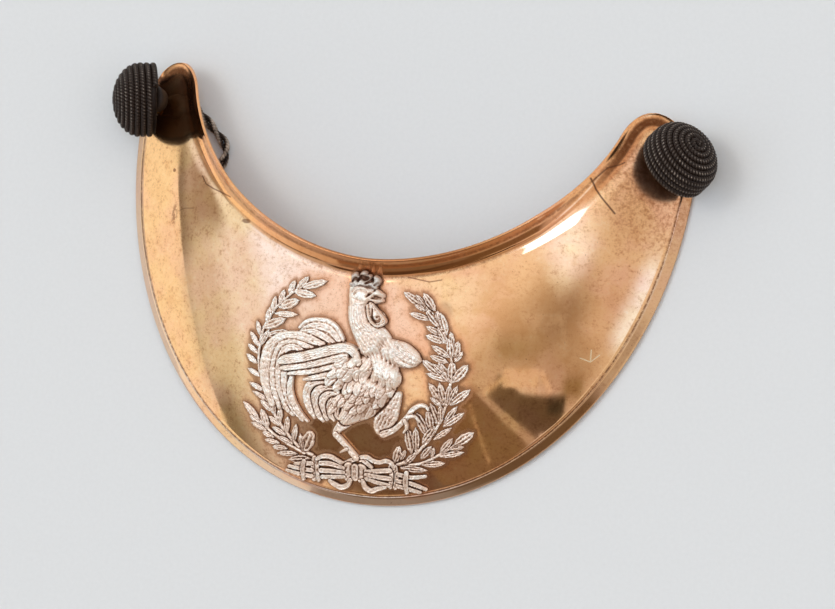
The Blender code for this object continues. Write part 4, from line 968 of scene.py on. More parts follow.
def make_relief():
    """The whole emblem, stroke over stroke from the lowest to the highest."""
    relief = Relief()
    relief.add_all(STEMS, rounded(STEM_CROWN), step=STEM_STEP)
    for row in LEAVES:
        relief.add(leaf_rows(*row), leaf(LEAF_CROWN))
    relief.add_all(BOW, ribbon(RIBBON_CROWN))
    relief.add_all(LEGS, plume(LIMB_CROWN, 0.9))
    for crown, rows in SHEET_FILLS:
        relief.add_all([rows], rounded(crown), undercut=0.2)
    relief.add_all(TAIL_FEATHERS, plume(PLUME_CROWN, 0.62), undercut=0.25, wider=1.1)
    for crown, rows in BODY:
        relief.add_all([rows], rounded(crown), undercut=0.3)
    relief.add_all(TAIL_COVERTS, plume(BODY_CROWN - 0.3, 0.6), undercut=0.25, wider=1.2)
    relief.add_all(WING_FEATHERS, plume(BODY_CROWN + 0.2, 0.55), undercut=0.25, wider=1.15)
    for rows in FAR_WING:
        relief.swell(rows, plume(FAR_WING_CROWN, 0.5))
    for rows in COMB:
        relief.swell(rows, rounded(COMB_CROWN), stain=1.0)
    base = relief.blurred(relief.height, BODY_BLUR)
    for row in BREAST_ROWS:
        feather_row(relief, base, row, *BREAST_LIFT)
    neck_strands(relief, base)
    for row in WING_COVERT_ROWS:
        feather_row(relief, base, row, *WING_COVERT_LIFT)
    for crown, rows in HEAD:
        relief.swell(rows, rounded(crown))
    for crown, rows in WATTLE:
        relief.add_all([rows], rounded(crown), undercut=0.1, step=FINE_STEP)
    for depth, rows in HOLLOWS:
        relief.cut_in(rows, depth)
    x, y = np.meshgrid(relief.x, relief.y, indexing="ij")
    pitting = uneven(x, y, (1.3, 0.0, 1.0), (3.1, 5.0, 0.6))
    relief.height += PITTING * pitting * (relief.height > SHEET_EDGE)
    # How far each point lies below its neighbourhood, which the finish darkens with tarnish and painted shade
    relief.recess = sum(
        weight * (relief.blurred(relief.height, reach) - relief.height) for reach, weight in RECESS_REACHES
    )
    return relief


def drawn_in(relief):
    """Plan places of the grid's points, with those just outside the strokes drawn back to their outline."""
    x, y = np.meshgrid(relief.x, relief.y, indexing="ij")
    slope_x, slope_y = np.gradient(relief.cover, RELIEF_GRID)
    steep = np.maximum(slope_x**2 + slope_y**2, 0.2)
    pull = np.where(relief.cover > 0, 0.0, -relief.cover / steep)
    limit = 0.9 * RELIEF_GRID
    return x + np.clip(pull * slope_x, -limit, limit), y + np.clip(pull * slope_y, -limit, limit)


def open_edges(quads, total):
    """Edges that only one quad has, from corner to corner the way round that quad goes."""
    edges = np.concatenate([quads[:, [k, (k + 1) % 4]] for k in range(4)])
    keys = edges[:, 0] * total + edges[:, 1]
    return edges[~np.isin(keys, edges[:, 1] * total + edges[:, 0])]


def make_emblem(relief, finish):
    """The stamped sheet, with its edge turned down onto the plate."""
    inside = relief.cover > 0
    cells = inside[:-1, :-1] | inside[1:, :-1] | inside[:-1, 1:] | inside[1:, 1:]
    used = np.zeros(inside.shape, bool)
    for di, dj in ((0, 0), (1, 0), (0, 1), (1, 1)):
        used[di : di + cells.shape[0], dj : dj + cells.shape[1]] |= cells
    number = np.cumsum(used.ravel()).reshape(used.shape) - 1
    total = int(used.sum())
    i, j = np.nonzero(cells)
    quads = np.stack([number[i, j], number[i + 1, j], number[i + 1, j + 1], number[i, j + 1]], -1)
    border = open_edges(quads, total)
    rim = np.unique(border)
    below = np.full(total, -1)
    below[rim] = total + np.arange(len(rim))
    skirt = np.stack([border[:, 1], border[:, 0], below[border[:, 0]], below[border[:, 1]]], -1)
    height = np.where(inside, np.maximum(relief.height, SHEET_EDGE), SHEET_EDGE)
    x, y = [places[used] for places in drawn_in(relief)]
    top = on_plate(x, y, height[used])
    foot = on_plate(x[rim], y[rim], np.full(len(rim), FOOT_LIFT))
    piece = new_piece("silver_rooster", LAY(np.vstack([top, foot])), [*quads, *skirt], finish)
    # The turned-down edge counts as deep in a hollow: a painted contact shadow round the sheet
    paint(piece, "recess", np.concatenate([relief.recess[used], np.full(len(rim), 0.5)]))
    paint(piece, "stain", np.concatenate([relief.stain[used], np.zeros(len(rim))]))
    return piece


# ---- cords ----


def twisted_cord(path, away, offset, twist, first_turn=0.0):
    """The path of one ply that winds round a cord's own path. away is a vector field across that path."""
    ahead = unit(np.gradient(path, axis=0))
    away = unit(away - (away * ahead).sum(1, keepdims=True) * ahead)
    beside = np.cross(ahead, away)
    turn = (2 * pi * lengths_along(path) / twist + first_turn)[:, None]
    return path + offset * (np.cos(turn) * away + np.sin(turn) * beside)


def button_profile(reach, near=0.3):
    """Radius, height and outward way of a button's skin at a length from its crown, and its full length."""
    sweep = np.linspace(0.0, pi / 2, 200)
    dome_height = BUTTON_HEIGHT - BUTTON_WALL_HEIGHT
    radius = np.append(BUTTON_RADIUS * np.sin(sweep), BUTTON_RADIUS)
    height = np.append(BUTTON_WALL_HEIGHT + dome_height * np.cos(sweep), 0.0)
    done = lengths_along(np.column_stack([radius, height]))
    r, z = np.interp(reach, done, radius), np.interp(reach, done, height)
    along_r, along_z = [
        np.interp(reach + near, done, way) - np.interp(reach - near, done, way) for way in (radius, height)
    ]
    size = np.hypot(along_r, along_z)
    return r, z, -along_z / size, along_r / size, done[-1]


def lean(points, seat, axis):
    """Moves points from a button's own axes, in millimetres, to where it leans in the resting frame."""
    turn = np.array(Vector(axis).to_track_quat("Z", "Y").to_matrix())
    return (points @ turn.T + np.array(seat)) * MM


def winding(side, thick):
    """Path of the wound cord over the mould, from the crown down to the base, and its outward direction."""
    turns = (button_profile(0.0)[4] - 0.5 * WIND_PITCH) / WIND_PITCH
    reach, angle, step = [WIND_FIRST], [0.0], WIND_TWIST / WIND_STEPS
    while angle[-1] < 2 * pi * turns:
        r = max(float(button_profile(np.array(reach[-1]))[0]) - thick, WIND_TIGHTEST)
        angle.append(angle[-1] + step / r)
        reach.append(WIND_FIRST + WIND_PITCH * angle[-1] / (2 * pi))
    angle = WIND_START + side * np.array(angle)
    r, z, out_r, out_z, _ = button_profile(np.array(reach))
    r, z = r - thick * out_r, z - thick * out_z
    path = np.stack([r * np.cos(angle), r * np.sin(angle), z], -1)
    return path, np.stack([out_r * np.cos(angle), out_r * np.sin(angle), out_z], -1)


def make_button(side, seat, axis, finish):
    """A flat cord wound in a spiral over a wooden mould, with its covered shank."""
    thick = WIND_PLY_OFFSET + WIND_PLY_RADIUS
    path, away = winding(side, thick)
    parts, out = [], []
    for ply in (0.0, pi):
        centre = twisted_cord(path, away, WIND_PLY_OFFSET, side * WIND_TWIST, ply)
        points, faces = tube(centre, WIND_PLY_RADIUS)
        parts.append((points, faces))
        from_path = points - np.repeat(path, PLY_SIDES, axis=0)
        out.append((from_path * np.repeat(away, PLY_SIDES, axis=0)).sum(1) / thick)
    parts.append(mould(thick))
    parts = [(lean(points, seat, axis), faces) for points, faces in parts]
    parts.append(make_shank(side, np.array(seat), unit(np.array(axis))))
    points, faces = joined(parts)
    piece = new_piece("wound_button_" + SIDE_NAMES[side], points, faces, finish)
    hidden = np.full(len(points) - sum(map(len, out)), -1.0)
    paint(piece, "out", np.concatenate([*out, hidden]))
    return piece


def make_shank(side, seat, axis):
    """The covered shank that bends from the post into the middle of the button's base."""
    foot = LAY(on_plate(side * BUTTON_X, BUTTON_Y, BUTTON_STAND_OFF - GAP)) / MM
    upright = LAY.turn @ dome_normal(side * BUTTON_X, BUTTON_Y)
    end = seat + SHANK_SUNK * axis
    t = np.linspace(0.0, 1.0, SHANK_RINGS)
    path = bezier(foot, foot + SHANK_BEND * upright, end - SHANK_BEND * axis, end, t)
    radius = np.interp(t, (0.0, 0.5, 1.0), SHANK_RADII)[:, None]
    points, faces = tube(path, radius, SHANK_SIDES, guide=(0.0, 1.0, 0.1))
    return points * MM, faces


def mould(thick):
    """The covered mould under the wound cord, with its flat base."""
    length = button_profile(0.0)[4]
    r, z, out_r, out_z, _ = button_profile(np.linspace(0.2, length - 0.1, MOULD_RINGS))
    r, z = np.maximum(r - MOULD_INSET * thick * out_r, 0.05), z - MOULD_INSET * thick * out_z
    r, z = np.concatenate([r, [r[-1] + 0.5, r[-1], 0.3]]), np.concatenate([z, [0.5, 0.1, 0.1]])
    turn = np.linspace(0.0, 2 * pi, MOULD_SIDES, endpoint=False)
    x, y, z = np.outer(r, np.cos(turn)), np.outer(r, np.sin(turn)), np.outer(z, np.ones(MOULD_SIDES))
    faces = [face[::-1] for face in ring_faces(len(r), MOULD_SIDES)]
    return np.stack([x, y, z], -1).reshape(-1, 3), faces


def make_cord(side, finish):
    """A loop of two thin twisted cords laid together. It lies on the table."""
    front = CAD_BOX[0][1]
    route = smooth_route(CORD_ROUTE, CORD_STEP)
    route = np.column_stack([side * route[:, 0], route[:, 1] + front / MM, np.full(len(route), CORD_LIE)])
    length = lengths_along(route)[-1]
    path = along(route, int(length / (PLY_TWIST / PLY_STEPS)))
    up = np.tile([0.0, 0.0, 1.0], (len(path), 1))
    parts, out = [], []
    for strand in (0.0, pi):
        middle = twisted_cord(path, up, STRAND_OFFSET, STRAND_TWIST, strand + STRAND_TURN)
        for ply in (0.0, pi):
            centre = twisted_cord(middle, up, PLY_OFFSET, -PLY_TWIST, ply)
            points, faces = tube(centre, PLY_RADIUS)
            parts.append((points * MM, faces))
            from_path = points - np.repeat(path, PLY_SIDES, axis=0)
            out.append(np.linalg.norm(from_path, axis=1) / (CORD_DIAMETER / 2))
    piece = new_piece("twisted_loop_" + SIDE_NAMES[side], *joined(parts), finish)
    paint(piece, "out", np.concatenate(out))
    return piece


# ---- finishes ----


class Signal:
    """A value that runs through a node tree. Arithmetic on it adds Math nodes."""

    def __init__(self, finish, socket):
        self.finish, self.socket = finish, socket

    def math(self, operation, *values):
        return self.finish.node("ShaderNodeMath", {"operation": operation}, dict(enumerate(values)))

    def __add__(self, other):
        return self.math("ADD", self, other)

    def __sub__(self, other):
        return self.math("SUBTRACT", self, other)

    def __rsub__(self, other):
        return self.math("SUBTRACT", other, self)

    def __mul__(self, other):
        return self.math("MULTIPLY", self, other)

    def __abs__(self):
        return self.math("ABSOLUTE", self)

    def most(self, other):
        return self.math("MAXIMUM", self, other)

    def least(self, other):
        return self.math("MINIMUM", self, other)

    __radd__ = __add__
    __rmul__ = __mul__


class Finish:
    """The node tree of a material or of the light round the scene."""

    def __init__(self, owner):
        owner.use_nodes = True
        self.tree = owner.node_tree
        self.tree.nodes.clear()

    def node(self, kind, settings=None, values=None, output=0):
        """Adds a node, sets it up, joins its inputs and gives one of its outputs, if it has any."""
        made = self.tree.nodes.new(kind)
        for name, value in (settings or {}).items():
            setattr(made, name, value)
        for name, value in (values or {}).items():
            if isinstance(value, Signal):
                self.tree.links.new(value.socket, made.inputs[name])
            else:
                made.inputs[name].default_value = value
        return Signal(self, made.outputs[output]) if made.outputs else None

    def attribute(self, name):
        return self.node("ShaderNodeAttribute", {"attribute_name": name}, output="Fac")

    def place(self):
        """Where a point is in the resting frame, in millimetres."""
        return self.scaled(self.node("ShaderNodeTexCoord", output="Object"), 1 / MM)

    def plan(self):
        """Where a point is in the plate's plan, in millimetres."""
        values = {
            "Vector": self.node("ShaderNodeTexCoord", output="Object"),
            "Location": LAY.shift,
            "Rotation": (LAY.angle, 0, 0),
            "Scale": (MM, MM, MM),
        }
        return self.node("ShaderNodeMapping", {"vector_type": "TEXTURE"}, values)

    def vector(self, operation, *values, output=0):
        return self.node("ShaderNodeVectorMath", {"operation": operation}, dict(enumerate(values)), output)

    def scaled(self, vector, factor):
        return self.node("ShaderNodeVectorMath", {"operation": "SCALE"}, {0: vector, "Scale": factor})

    def part(self, vector, axis):
        return self.node("ShaderNodeSeparateXYZ", None, {0: vector}, axis)

    def from_point(self, plan, x, y):
        """The way in plan from a point, without its height."""
        return self.vector("SUBTRACT", self.vector("MULTIPLY", plan, (1, 1, 0)), (x, y, 0))

    def noise(self, vector, scale, detail=3.0, roughness=0.5, distortion=0.0):
        values = {"Vector": vector, "Scale": scale, "Detail": detail, "Roughness": roughness}
        return self.node("ShaderNodeTexNoise", None, {**values, "Distortion": distortion}, "Fac")

    def step(self, value, low, high, bottom=0.0, top=1.0):
        """Goes smoothly from bottom to top as the value goes from low to high."""
        values = {"Value": value, "From Min": low, "From Max": high, "To Min": bottom, "To Max": top}
        return self.node("ShaderNodeMapRange", {"interpolation_type": "SMOOTHSTEP"}, values)

    def blend(self, factor, a, b):
        """Mixes two colours."""
        return self.node("ShaderNodeMix", {"data_type": "RGBA"}, {0: factor, 6: a, 7: b}, 2)

    def coated(self, colour, coats):
        """A colour under coats of (share, red, green, blue), laid in order."""
        for share, *tint in coats:
            colour = self.blend(share, colour, rgb(*tint))
        return colour

    def near_line(self, plan, points, width):
        """1 on a polyline in plan, falling to 0 at half the width from it."""
        nearest = None
        for (ax, ay), (bx, by) in zip(points[:-1], points[1:]):
            length = float(np.hypot(bx - ax, by - ay))
            ahead = ((bx - ax) / length, (by - ay) / length, 0.0)
            offset = self.from_point(plan, ax, ay)
            done = self.vector("DOT_PRODUCT", offset, ahead, output="Value").most(0.0).least(length)
            away = self.vector("SUBTRACT", offset, self.scaled(ahead, done))
            away = self.vector("LENGTH", away, output="Value")
            nearest = away if nearest is None else nearest.least(away)
        return self.step(nearest, width / 2, 0.0)

    def patch(self, plan, x, y, half_x, half_y, soft=0.3):
        """1 inside an ellipse in plan, with a soft border."""
        offset = self.vector("DIVIDE", self.from_point(plan, x, y), (half_x, half_y, 1))
        return self.step(self.vector("LENGTH", offset, output="Value"), 1 + soft, 1 - soft)

    def bump(self, strength, distance, height):
        values = {"Strength": strength, "Distance": distance, "Height": height}
        return self.node("ShaderNodeBump", None, values)

    def close(self, **values):
        """Ends the tree in a Principled shader."""
        named = {name.replace("_", " "): value for name, value in values.items()}
        shader = self.node("ShaderNodeBsdfPrincipled", None, named)
        self.node("ShaderNodeOutputMaterial", None, {"Surface": shader})


def new_finish(name):
    material = bpy.data.materials.new(name)
    return material, Finish(material)


def rgb(red, green, blue):
    """A colour in linear light from display values of 0 to 255."""
    shown = np.array([red, green, blue]) / 255
    linear = np.where(shown <= 0.04045, shown / 12.92, ((shown + 0.055) / 1.055) ** 2.4)
    return (*map(float, linear), 1.0)


# Marks on the plate, in plan
CRACK = ((55.4, 35.8), (56.9, 33.0), (58.4, 31.2), (62.3, 27.2))
CRACK_BRANCH = ((55.6, 34.9), (58.9, 39.0), (61.5, 40.0), (62.7, 40.8))
LEFT_HAIRLINE = ((-54.0, 24.8), (-52.4, 22.8), (-49.7, 21.8), (-43.7, 20.2))
MIDDLE_HAIRLINE = ((11.3, 4.7), (17.4, 4.1), (20.6, 5.0))
BLOT_TAIL = ((-61.7, 14.1), (-58.5, 15.5), (-55.6, 15.8))
SCRATCH = ((60.3, -9.4), (60.3, -12.6), (57.8, -11.8))
SCRATCH_TAIL = ((60.3, -12.6), (62.4, -10.5))


def gold_coats(f, plan, cloud, grain, streaks):
    """The open metal: tarnished clouds, a mottled grain and a few larger stains."""
    tarnish = f.patch(plan, 51.5, -1.0, 6.0, 6.5, 0.8) * f.step(cloud + 0.3 * streaks, 0.4, 0.8)
    deeper_gold = f.patch(plan, 46, -5, 20, 17, 0.6) * f.step(cloud, 0.35, 0.7, 0.3, 0.8)
    old_stain = f.patch(plan, 22.2, -3.3, 2.1, 2.6, 0.35)
    return [
        (f.step(cloud, 0.5, 0.78) * 0.45, 226, 166, 112),
        (f.step(grain, 0.48, 0.72) * 0.75, 186, 126, 84),
        (f.step(grain, 0.48, 0.28) * 0.5, 255, 226, 184),
        (tarnish * 0.5, 150, 112, 76),
        (deeper_gold, 224, 170, 116),
        (old_stain * 0.35, 130, 92, 66),
    ]


def edge_coats(f, plan, fine, grain):
    """The flange, the border, the horns and the darkened lines (dirt at the lip, the groove darkened, painted
    shade at the flange's foot and along the horns), and the share of those lines.
    """
    from_rim, from_neck = f.attribute("from_rim"), f.attribute("from_neck")
    ragged = f.step(fine, 0.28, 0.6)
    flange = f.step(from_neck, 4.8, 4.0)
    # Painted shade on the middle of the flange
    shaded_flange = flange * f.patch(plan, 4, 12, 28, 16, 0.6)
    border = f.step(from_rim, BORDER_WIDTH + 0.2, BORDER_WIDTH - 0.2)
    worn_border = border * f.patch(plan, 4, -52, 44, 24, 0.5)
    # Painted reflection: the left border paled as if mirroring the pale table
    left_border_reflection = border * f.patch(plan, -66, -8, 18, 46, 0.5)
    soiled = f.patch(plan, 42, -30, 22, 22, 0.6).most(f.patch(plan, 78, 14, 14, 40, 0.5) * 0.5)
    horns = f.step(abs(f.part(plan, 0)), 55.0, 63.0)
    # Painted shade: a dark line along the inside of each horn
    horn_shade_line = f.step(abs(from_neck - 2.3), 1.4, 0.5) * horns * (0.6 + 0.4 * ragged)
    # Painted shade and painted reflection of the button on the horn round it
    painted_button_shade = f.patch(plan, BUTTON_X, BUTTON_Y - 4, 15, 17, 0.5)
    groove = f.step(abs(from_rim - BORDER_WIDTH), 0.42, 0.05) * ragged
    lip = f.step(abs(from_neck - 1.3), 0.6, 0.05) * ragged
    # Painted shade in the hollow at the foot of the flange, strongest round the middle
    foot = f.step(abs(from_neck - 4.5), 0.7, 0.1) * (0.2 + 0.8 * f.patch(plan, 12, 12, 26, 14, 0.4)) * ragged
    # The darkened lines: groove and lip, with the painted shade of the horn line and of the flange's foot
    shade_and_dirt_lines = (groove * 0.85).most(horn_shade_line * 0.8).most(lip * 0.55).most(foot * 0.65)
    coats = [
        (flange * 0.4, 246, 160, 96),
        (shaded_flange * 0.75, 166, 108, 64),
        (worn_border * 0.75, 214, 192, 178),
        (left_border_reflection * 0.6, 252, 226, 206),
        (border * (0.15 + 0.6 * soiled), 188, 150, 118),
        (horn_shade_line * 0.95, 72, 38, 17),
        (painted_button_shade * (0.1 + 0.5 * f.step(grain, 0.4, 0.65)), 166, 104, 58),
        (shade_and_dirt_lines, 112, 66, 38),
    ]
    return coats, shade_and_dirt_lines


def mark_coats(f, plan, fine):
    """The specks, spots, hairlines, crack and scratch, and the shares of the crack and of the scratch."""
    specks = f.step(f.noise(plan, 1.9, 2.0, 0.5), 0.71, 0.77)
    blot = f.patch(plan, -62.0, 13.5, 0.9, 2.6, 0.5) * f.step(fine, 0.42, 0.5)
    spots = f.patch(plan, -64.1, 25.3, 0.5, 0.5).most(f.patch(plan, -37.7, 14.3, 1.3, 0.6))
    hairs = f.near_line(plan, LEFT_HAIRLINE, 0.7).most(f.near_line(plan, MIDDLE_HAIRLINE, 0.6))
    brown = (blot * 0.6).most(spots * 0.7).most(hairs * 0.75).most(f.near_line(plan, BLOT_TAIL, 0.6) * 0.4)
    crack = f.near_line(plan, CRACK, 0.8).most(f.near_line(plan, CRACK_BRANCH, 0.7) * 0.8)
    scratch = f.near_line(plan, SCRATCH, 0.6).most(f.near_line(plan, SCRATCH_TAIL, 0.5))
    coats = [
        (specks * 0.6, 96, 60, 34),
        (brown, 104, 56, 34),
        (crack * 0.9, 76, 40, 24),
        (scratch * 0.8, 255, 236, 196),
    ]
    return coats, crack, scratch


def gilt_finish():
    """Fire-gilt copper: rosy where the gold is thin, browned in the hollows with dirt and painted shade, with
    a fine mottled grain and a few painted reflections and shadows.
    """
    material, f = new_finish("gilt_copper")
    plan = f.plan()
    wear = f.noise(plan, 0.05, 4.0, 0.55)
    cloud = f.noise(plan, 0.16, 5.0, 0.6, 0.4)
    fine = f.noise(plan, 1.0, 5.0, 0.7)
    grain = 0.6 * f.noise(plan, 1.15, 3.0, 0.75) + 0.4 * f.noise(plan, 0.35, 3.0, 0.6)
    streaks = f.noise(f.vector("MULTIPLY", plan, (1.3, 0.12, 1.0)), 1.0, 4.0, 0.6)
    from_emblem = f.attribute("from_emblem")
    rosy = f.step(wear + 0.25 * f.patch(plan, -8, -6, 27, 13, 0.9), 0.4, 0.62)
    edges, shade_and_dirt_lines = edge_coats(f, plan, fine, grain)
    # Dirt and painted shade darken the plate round the foot of the emblem
    dirt_and_shade_halo = f.step(from_emblem + 1.6 * (cloud - 0.5) + 1.0 * (fine - 0.5), 1.3, 0.1)
    dirt_and_shade_halos = [(f.step(from_emblem, 2.8, 0.4) * 0.4, 226, 152, 106), (dirt_and_shade_halo * 0.75, 134, 88, 58)]
    marks, crack, scratch = mark_coats(f, plan, fine)
    colour = f.blend(rosy, rgb(250, 202, 149), rgb(249, 195, 156))
    colour = f.coated(colour, gold_coats(f, plan, cloud, grain, streaks) + edges + dirt_and_shade_halos + marks)
    matt = f.patch(plan, BUTTON_X, BUTTON_Y - 4, 17, 19, 0.5)
    matt = matt.most(f.patch(plan, -BUTTON_X, BUTTON_Y, 14, 16, 0.4))
    rough = 0.04 + 0.05 * f.step(cloud, 0.35, 0.8) + 0.03 * f.step(streaks, 0.5, 0.8)
    rough = rough + (0.3 * dirt_and_shade_halo.most(shade_and_dirt_lines).most(scratch)).most(0.13 * matt)
    bump = f.bump(0.07, 0.00006, 0.5 * cloud + 0.14 * fine + 0.06 * streaks - 0.8 * crack)
    f.close(Base_Color=colour, Metallic=1.0, Roughness=rough, Normal=bump)
    return material


def silver_finish():
    """Silvered copper, bright on its ridges, rosy between them and brown in its hollows with tarnish and
    painted shade.
    """
    material, f = new_finish("silvered_relief")
    plan = f.plan()
    wear = f.noise(plan, 0.45, 5.0, 0.65)
    broad = f.noise(plan, 0.1, 3.0, 0.5)
    fine = f.noise(plan, 3.0, 4.0, 0.7)
    low = f.step(f.part(plan, 1), -20.0, -50.0)
    paler_zones = f.patch(plan, 3, -14, 12, 20, 0.5)  # the body and neck, whose hollows are darkened least
    darker_zones = f.patch(plan, 16, -30, 24, 32, 0.7) * (1 - paler_zones)
    darker_zones = darker_zones.most(f.patch(plan, -13, -47, 13, 6, 0.5)).most(f.patch(plan, 4, -31, 7, 5, 0.6))
    # Tarnish and painted shade in the hollows, more on the right side, at the bow, at the legs and towards the
    # bottom
    recess = f.attribute("recess") * (1.35 - 0.75 * paler_zones) + 0.14 * (wear - 0.5) + 0.10 * (fine - 0.5)
    recess = recess + 0.06 * low + 0.10 * darker_zones + 0.10 * f.patch(plan, 14, -2, 7, 8, 0.5)
    worn = f.step(wear + 0.4 * (broad - 0.5) + 0.14 * low, 0.35, 0.7)
    colour = f.coated(f.blend(worn, rgb(255, 249, 238), rgb(246, 220, 198)), [
        (f.step(recess, -0.08, 0.07), 240, 214, 196),
        (f.step(recess, 0.05, 0.18), 180, 140, 112),
        (f.step(recess, 0.14, 0.32), 96, 62, 42),
        (f.attribute("stain") * f.step(recess, -0.25, 0.05, 0.4, 0.9), 104, 68, 50),
    ])
    rough = 0.30 + 0.16 * fine + 0.25 * f.step(recess, 0.0, 0.2)
    bump = f.bump(0.35, 0.00015, fine + 0.5 * wear)
    f.close(Base_Color=colour, Metallic=0.55, Roughness=rough, Normal=bump)
    return material


def cord_finish(name, low, high):
    """Worn black-brown silk cord with pale, slightly glossy flecks where each ply stands out: painted
    highlights, patchy with wear.
    """
    material, f = new_finish(name)
    place = f.place()
    fibre = f.noise(place, 3.2, 3.0, 0.7)
    wear = f.noise(place, 0.4, 3.0, 0.5)
    out = f.step(f.attribute("out") + 0.16 * (fibre - 0.5), low, high)
    colour = f.blend(f.step(fibre, 0.3, 0.7), rgb(26, 17, 12), rgb(52, 37, 28))
    # Painted highlight on the outermost part of each ply, broken up by the wear noise
    colour = f.blend(out * f.step(wear, 0.3, 0.7, 0.25, 1.0), colour, rgb(216, 198, 180))
    rough = 0.36 + 0.25 * fibre
    f.close(Base_Color=colour, Roughness=rough, Specular_IOR_Level=0.25, Normal=f.bump(0.5, 0.00015, fibre))
    return material


def brass_finish():
    """Dull brass, browned in clouds."""
    material, f = new_finish("dull_brass")
    cloud = f.noise(f.place(), 0.8, 4.0, 0.6)
    colour = f.blend(f.step(cloud, 0.35, 0.7), rgb(188, 150, 98), rgb(112, 80, 50))
    f.close(Base_Color=colour, Metallic=1.0, Roughness=0.32 + 0.25 * cloud, Normal=f.bump(0.2, 0.0001, cloud))
    return material


def table_finish():
    """Pale matt paper with a faint grain."""
    material, f = new_finish("pale_table")
    grain = f.noise(f.node("ShaderNodeTexCoord", output="Object"), 900.0, 2.0, 0.6)
    colour = f.blend(grain, rgb(216, 216, 214), rgb(222, 222, 220))
    f.close(Base_Color=colour, Roughness=0.9)
    return material


# ---- stage ----


LAMPS = (("left_lamp", 170), ("right_lamp", 10))  # name, azimuth
LAMP_ELEVATION = 55
LAMP_DISTANCE = 1.2  # metres, as is the size
LAMP_SIZE = 0.7
LAMP_POWER = 1.0
TABLE_HALF = 3.0
ROOM_LOW = (0.80, 0.78, 0.76, 1)  # brightness of the bare room, level with the table and overhead
ROOM_HIGH = (0.92, 0.90, 0.88, 1)


def direction(azimuth, elevation):
    """The way to a compass point and height, in degrees."""
    a, e = radians(azimuth), radians(elevation)
    return np.array([cos(e) * cos(a), cos(e) * sin(a), sin(e)])


# What stands round the table, painted in this order. Angles are in degrees: azimuth from +X and elevation of
# the middle, half sizes, tilt and the softness of the border. The brightnesses are in linear light.
SURROUNDINGS = (
    # azimuth, elevation, half_width, half_height, tilt, red, green, blue, softness
    (-90, 6, 60, 12, 0, 0.50, 0.36, 0.26, 4),  # table edge and room before the wearer's side
    (-60, 80, 24, 14, 0, 1.00, 0.97, 0.98, 8),  # ceiling
    (-45, 64, 20, 7, 0, 0.66, 0.60, 0.55, 5),
    (-30, 50, 18, 9, -6, 0.74, 0.67, 0.64, 6),
    (-41, 51, 6, 6, 0, 0.54, 0.47, 0.42, 4),
    (-34, 60, 8, 4.5, 0, 0.50, 0.44, 0.40, 4),
    (-112, 77, 9, 6, 0, 1.08, 1.22, 1.20, 5),
    (-16, 42, 8, 3.5, -8, 1.05, 1.35, 1.90, 3),
    (-6, 67, 5, 6, -40, 1.15, 1.40, 1.70, 4),
    (12, 52, 9, 7, 0, 0.66, 0.56, 0.50, 5),
    # left backdrop: bright below a sharp edge, dark above it and pale again towards its top
    (-170, 6, 48, 15, 10, 1.04, 1.05, 0.96, 0.12),
    (-170, 38, 34, 17.2, 10, 0.26, 0.25, 0.21, 0.12),
    (-168, 41, 32, 16, 12, 0.56, 0.60, 0.56, 3),
    (-164, 48, 30, 18, 12, 0.94, 1.10, 1.26, 5),
    (-162, 27, 10, 6.5, 6, 0.74, 0.80, 0.80, 4),
    (-181.5, 28.5, 5.5, 6.5, 0, 0.42, 0.40, 0.35, 3),
    (-169, 55, 9, 10, 8, 1.10, 1.50, 2.10, 4),
    (-145, 66, 12, 9, 0, 1.02, 1.14, 1.34, 6),
    (-194, 66, 7, 9, 0, 6.00, 6.00, 6.00, 2),  # left softbox
    # figures and stands in front, dark, with bright slits between them
    (-75, 31, 36, 12, 0, 0.23, 0.17, 0.11, 4),
    (-104, 22, 17, 6.5, 8, 0.40, 0.36, 0.32, 3),
    (-84, 23, 10, 4.5, 0, 0.36, 0.33, 0.28, 3),
    (-28, 29, 8, 6, 0, 0.58, 0.54, 0.52, 4),
    (-104, 43, 22, 8, -4, 0.17, 0.13, 0.10, 2),
    (-55.5, 62.9, 6.0, 2.6, -34, 0.48, 0.43, 0.33, 2.5),
    (-80.6, 46.6, 10, 9, -46, 0.23, 0.17, 0.105, 0.2),
    (-43.2, 48, 2.6, 1.8, -46, 0.32, 0.25, 0.15, 1.4),
    (-63.9, 53.2, 7.7, 2.6, -56, 0.16, 0.125, 0.09, 0.4),
    (-56.6, 49.3, 5.8, 3.4, -36, 0.13, 0.10, 0.07, 0.4),
    (-50.6, 48.3, 2.2, 1.6, -38, 0.06, 0.05, 0.035, 1.0),
    (-74.8, 56.6, 5.2, 0.62, -50, 0.52, 0.46, 0.38, 0.12),
    (-65.6, 49.2, 4.9, 0.9, -56, 0.50, 0.44, 0.35, 0.15),
    (-79.9, 51.1, 6.0, 0.34, -74, 0.46, 0.37, 0.26, 0.1),
    (-71.1, 59.2, 3.1, 0.45, 14, 0.78, 0.70, 0.58, 0.12),
    (-59.3, 57.9, 4.3, 1.7, -30, 0.80, 0.72, 0.64, 0.15),
    (-50.8, 53.7, 2.5, 0.6, 90, 0.80, 0.72, 0.64, 0.12),
    (22, 75, 4.4, 6.2, 0, 3.00, 4.00, 6.00, 0.6),  # right softbox
)


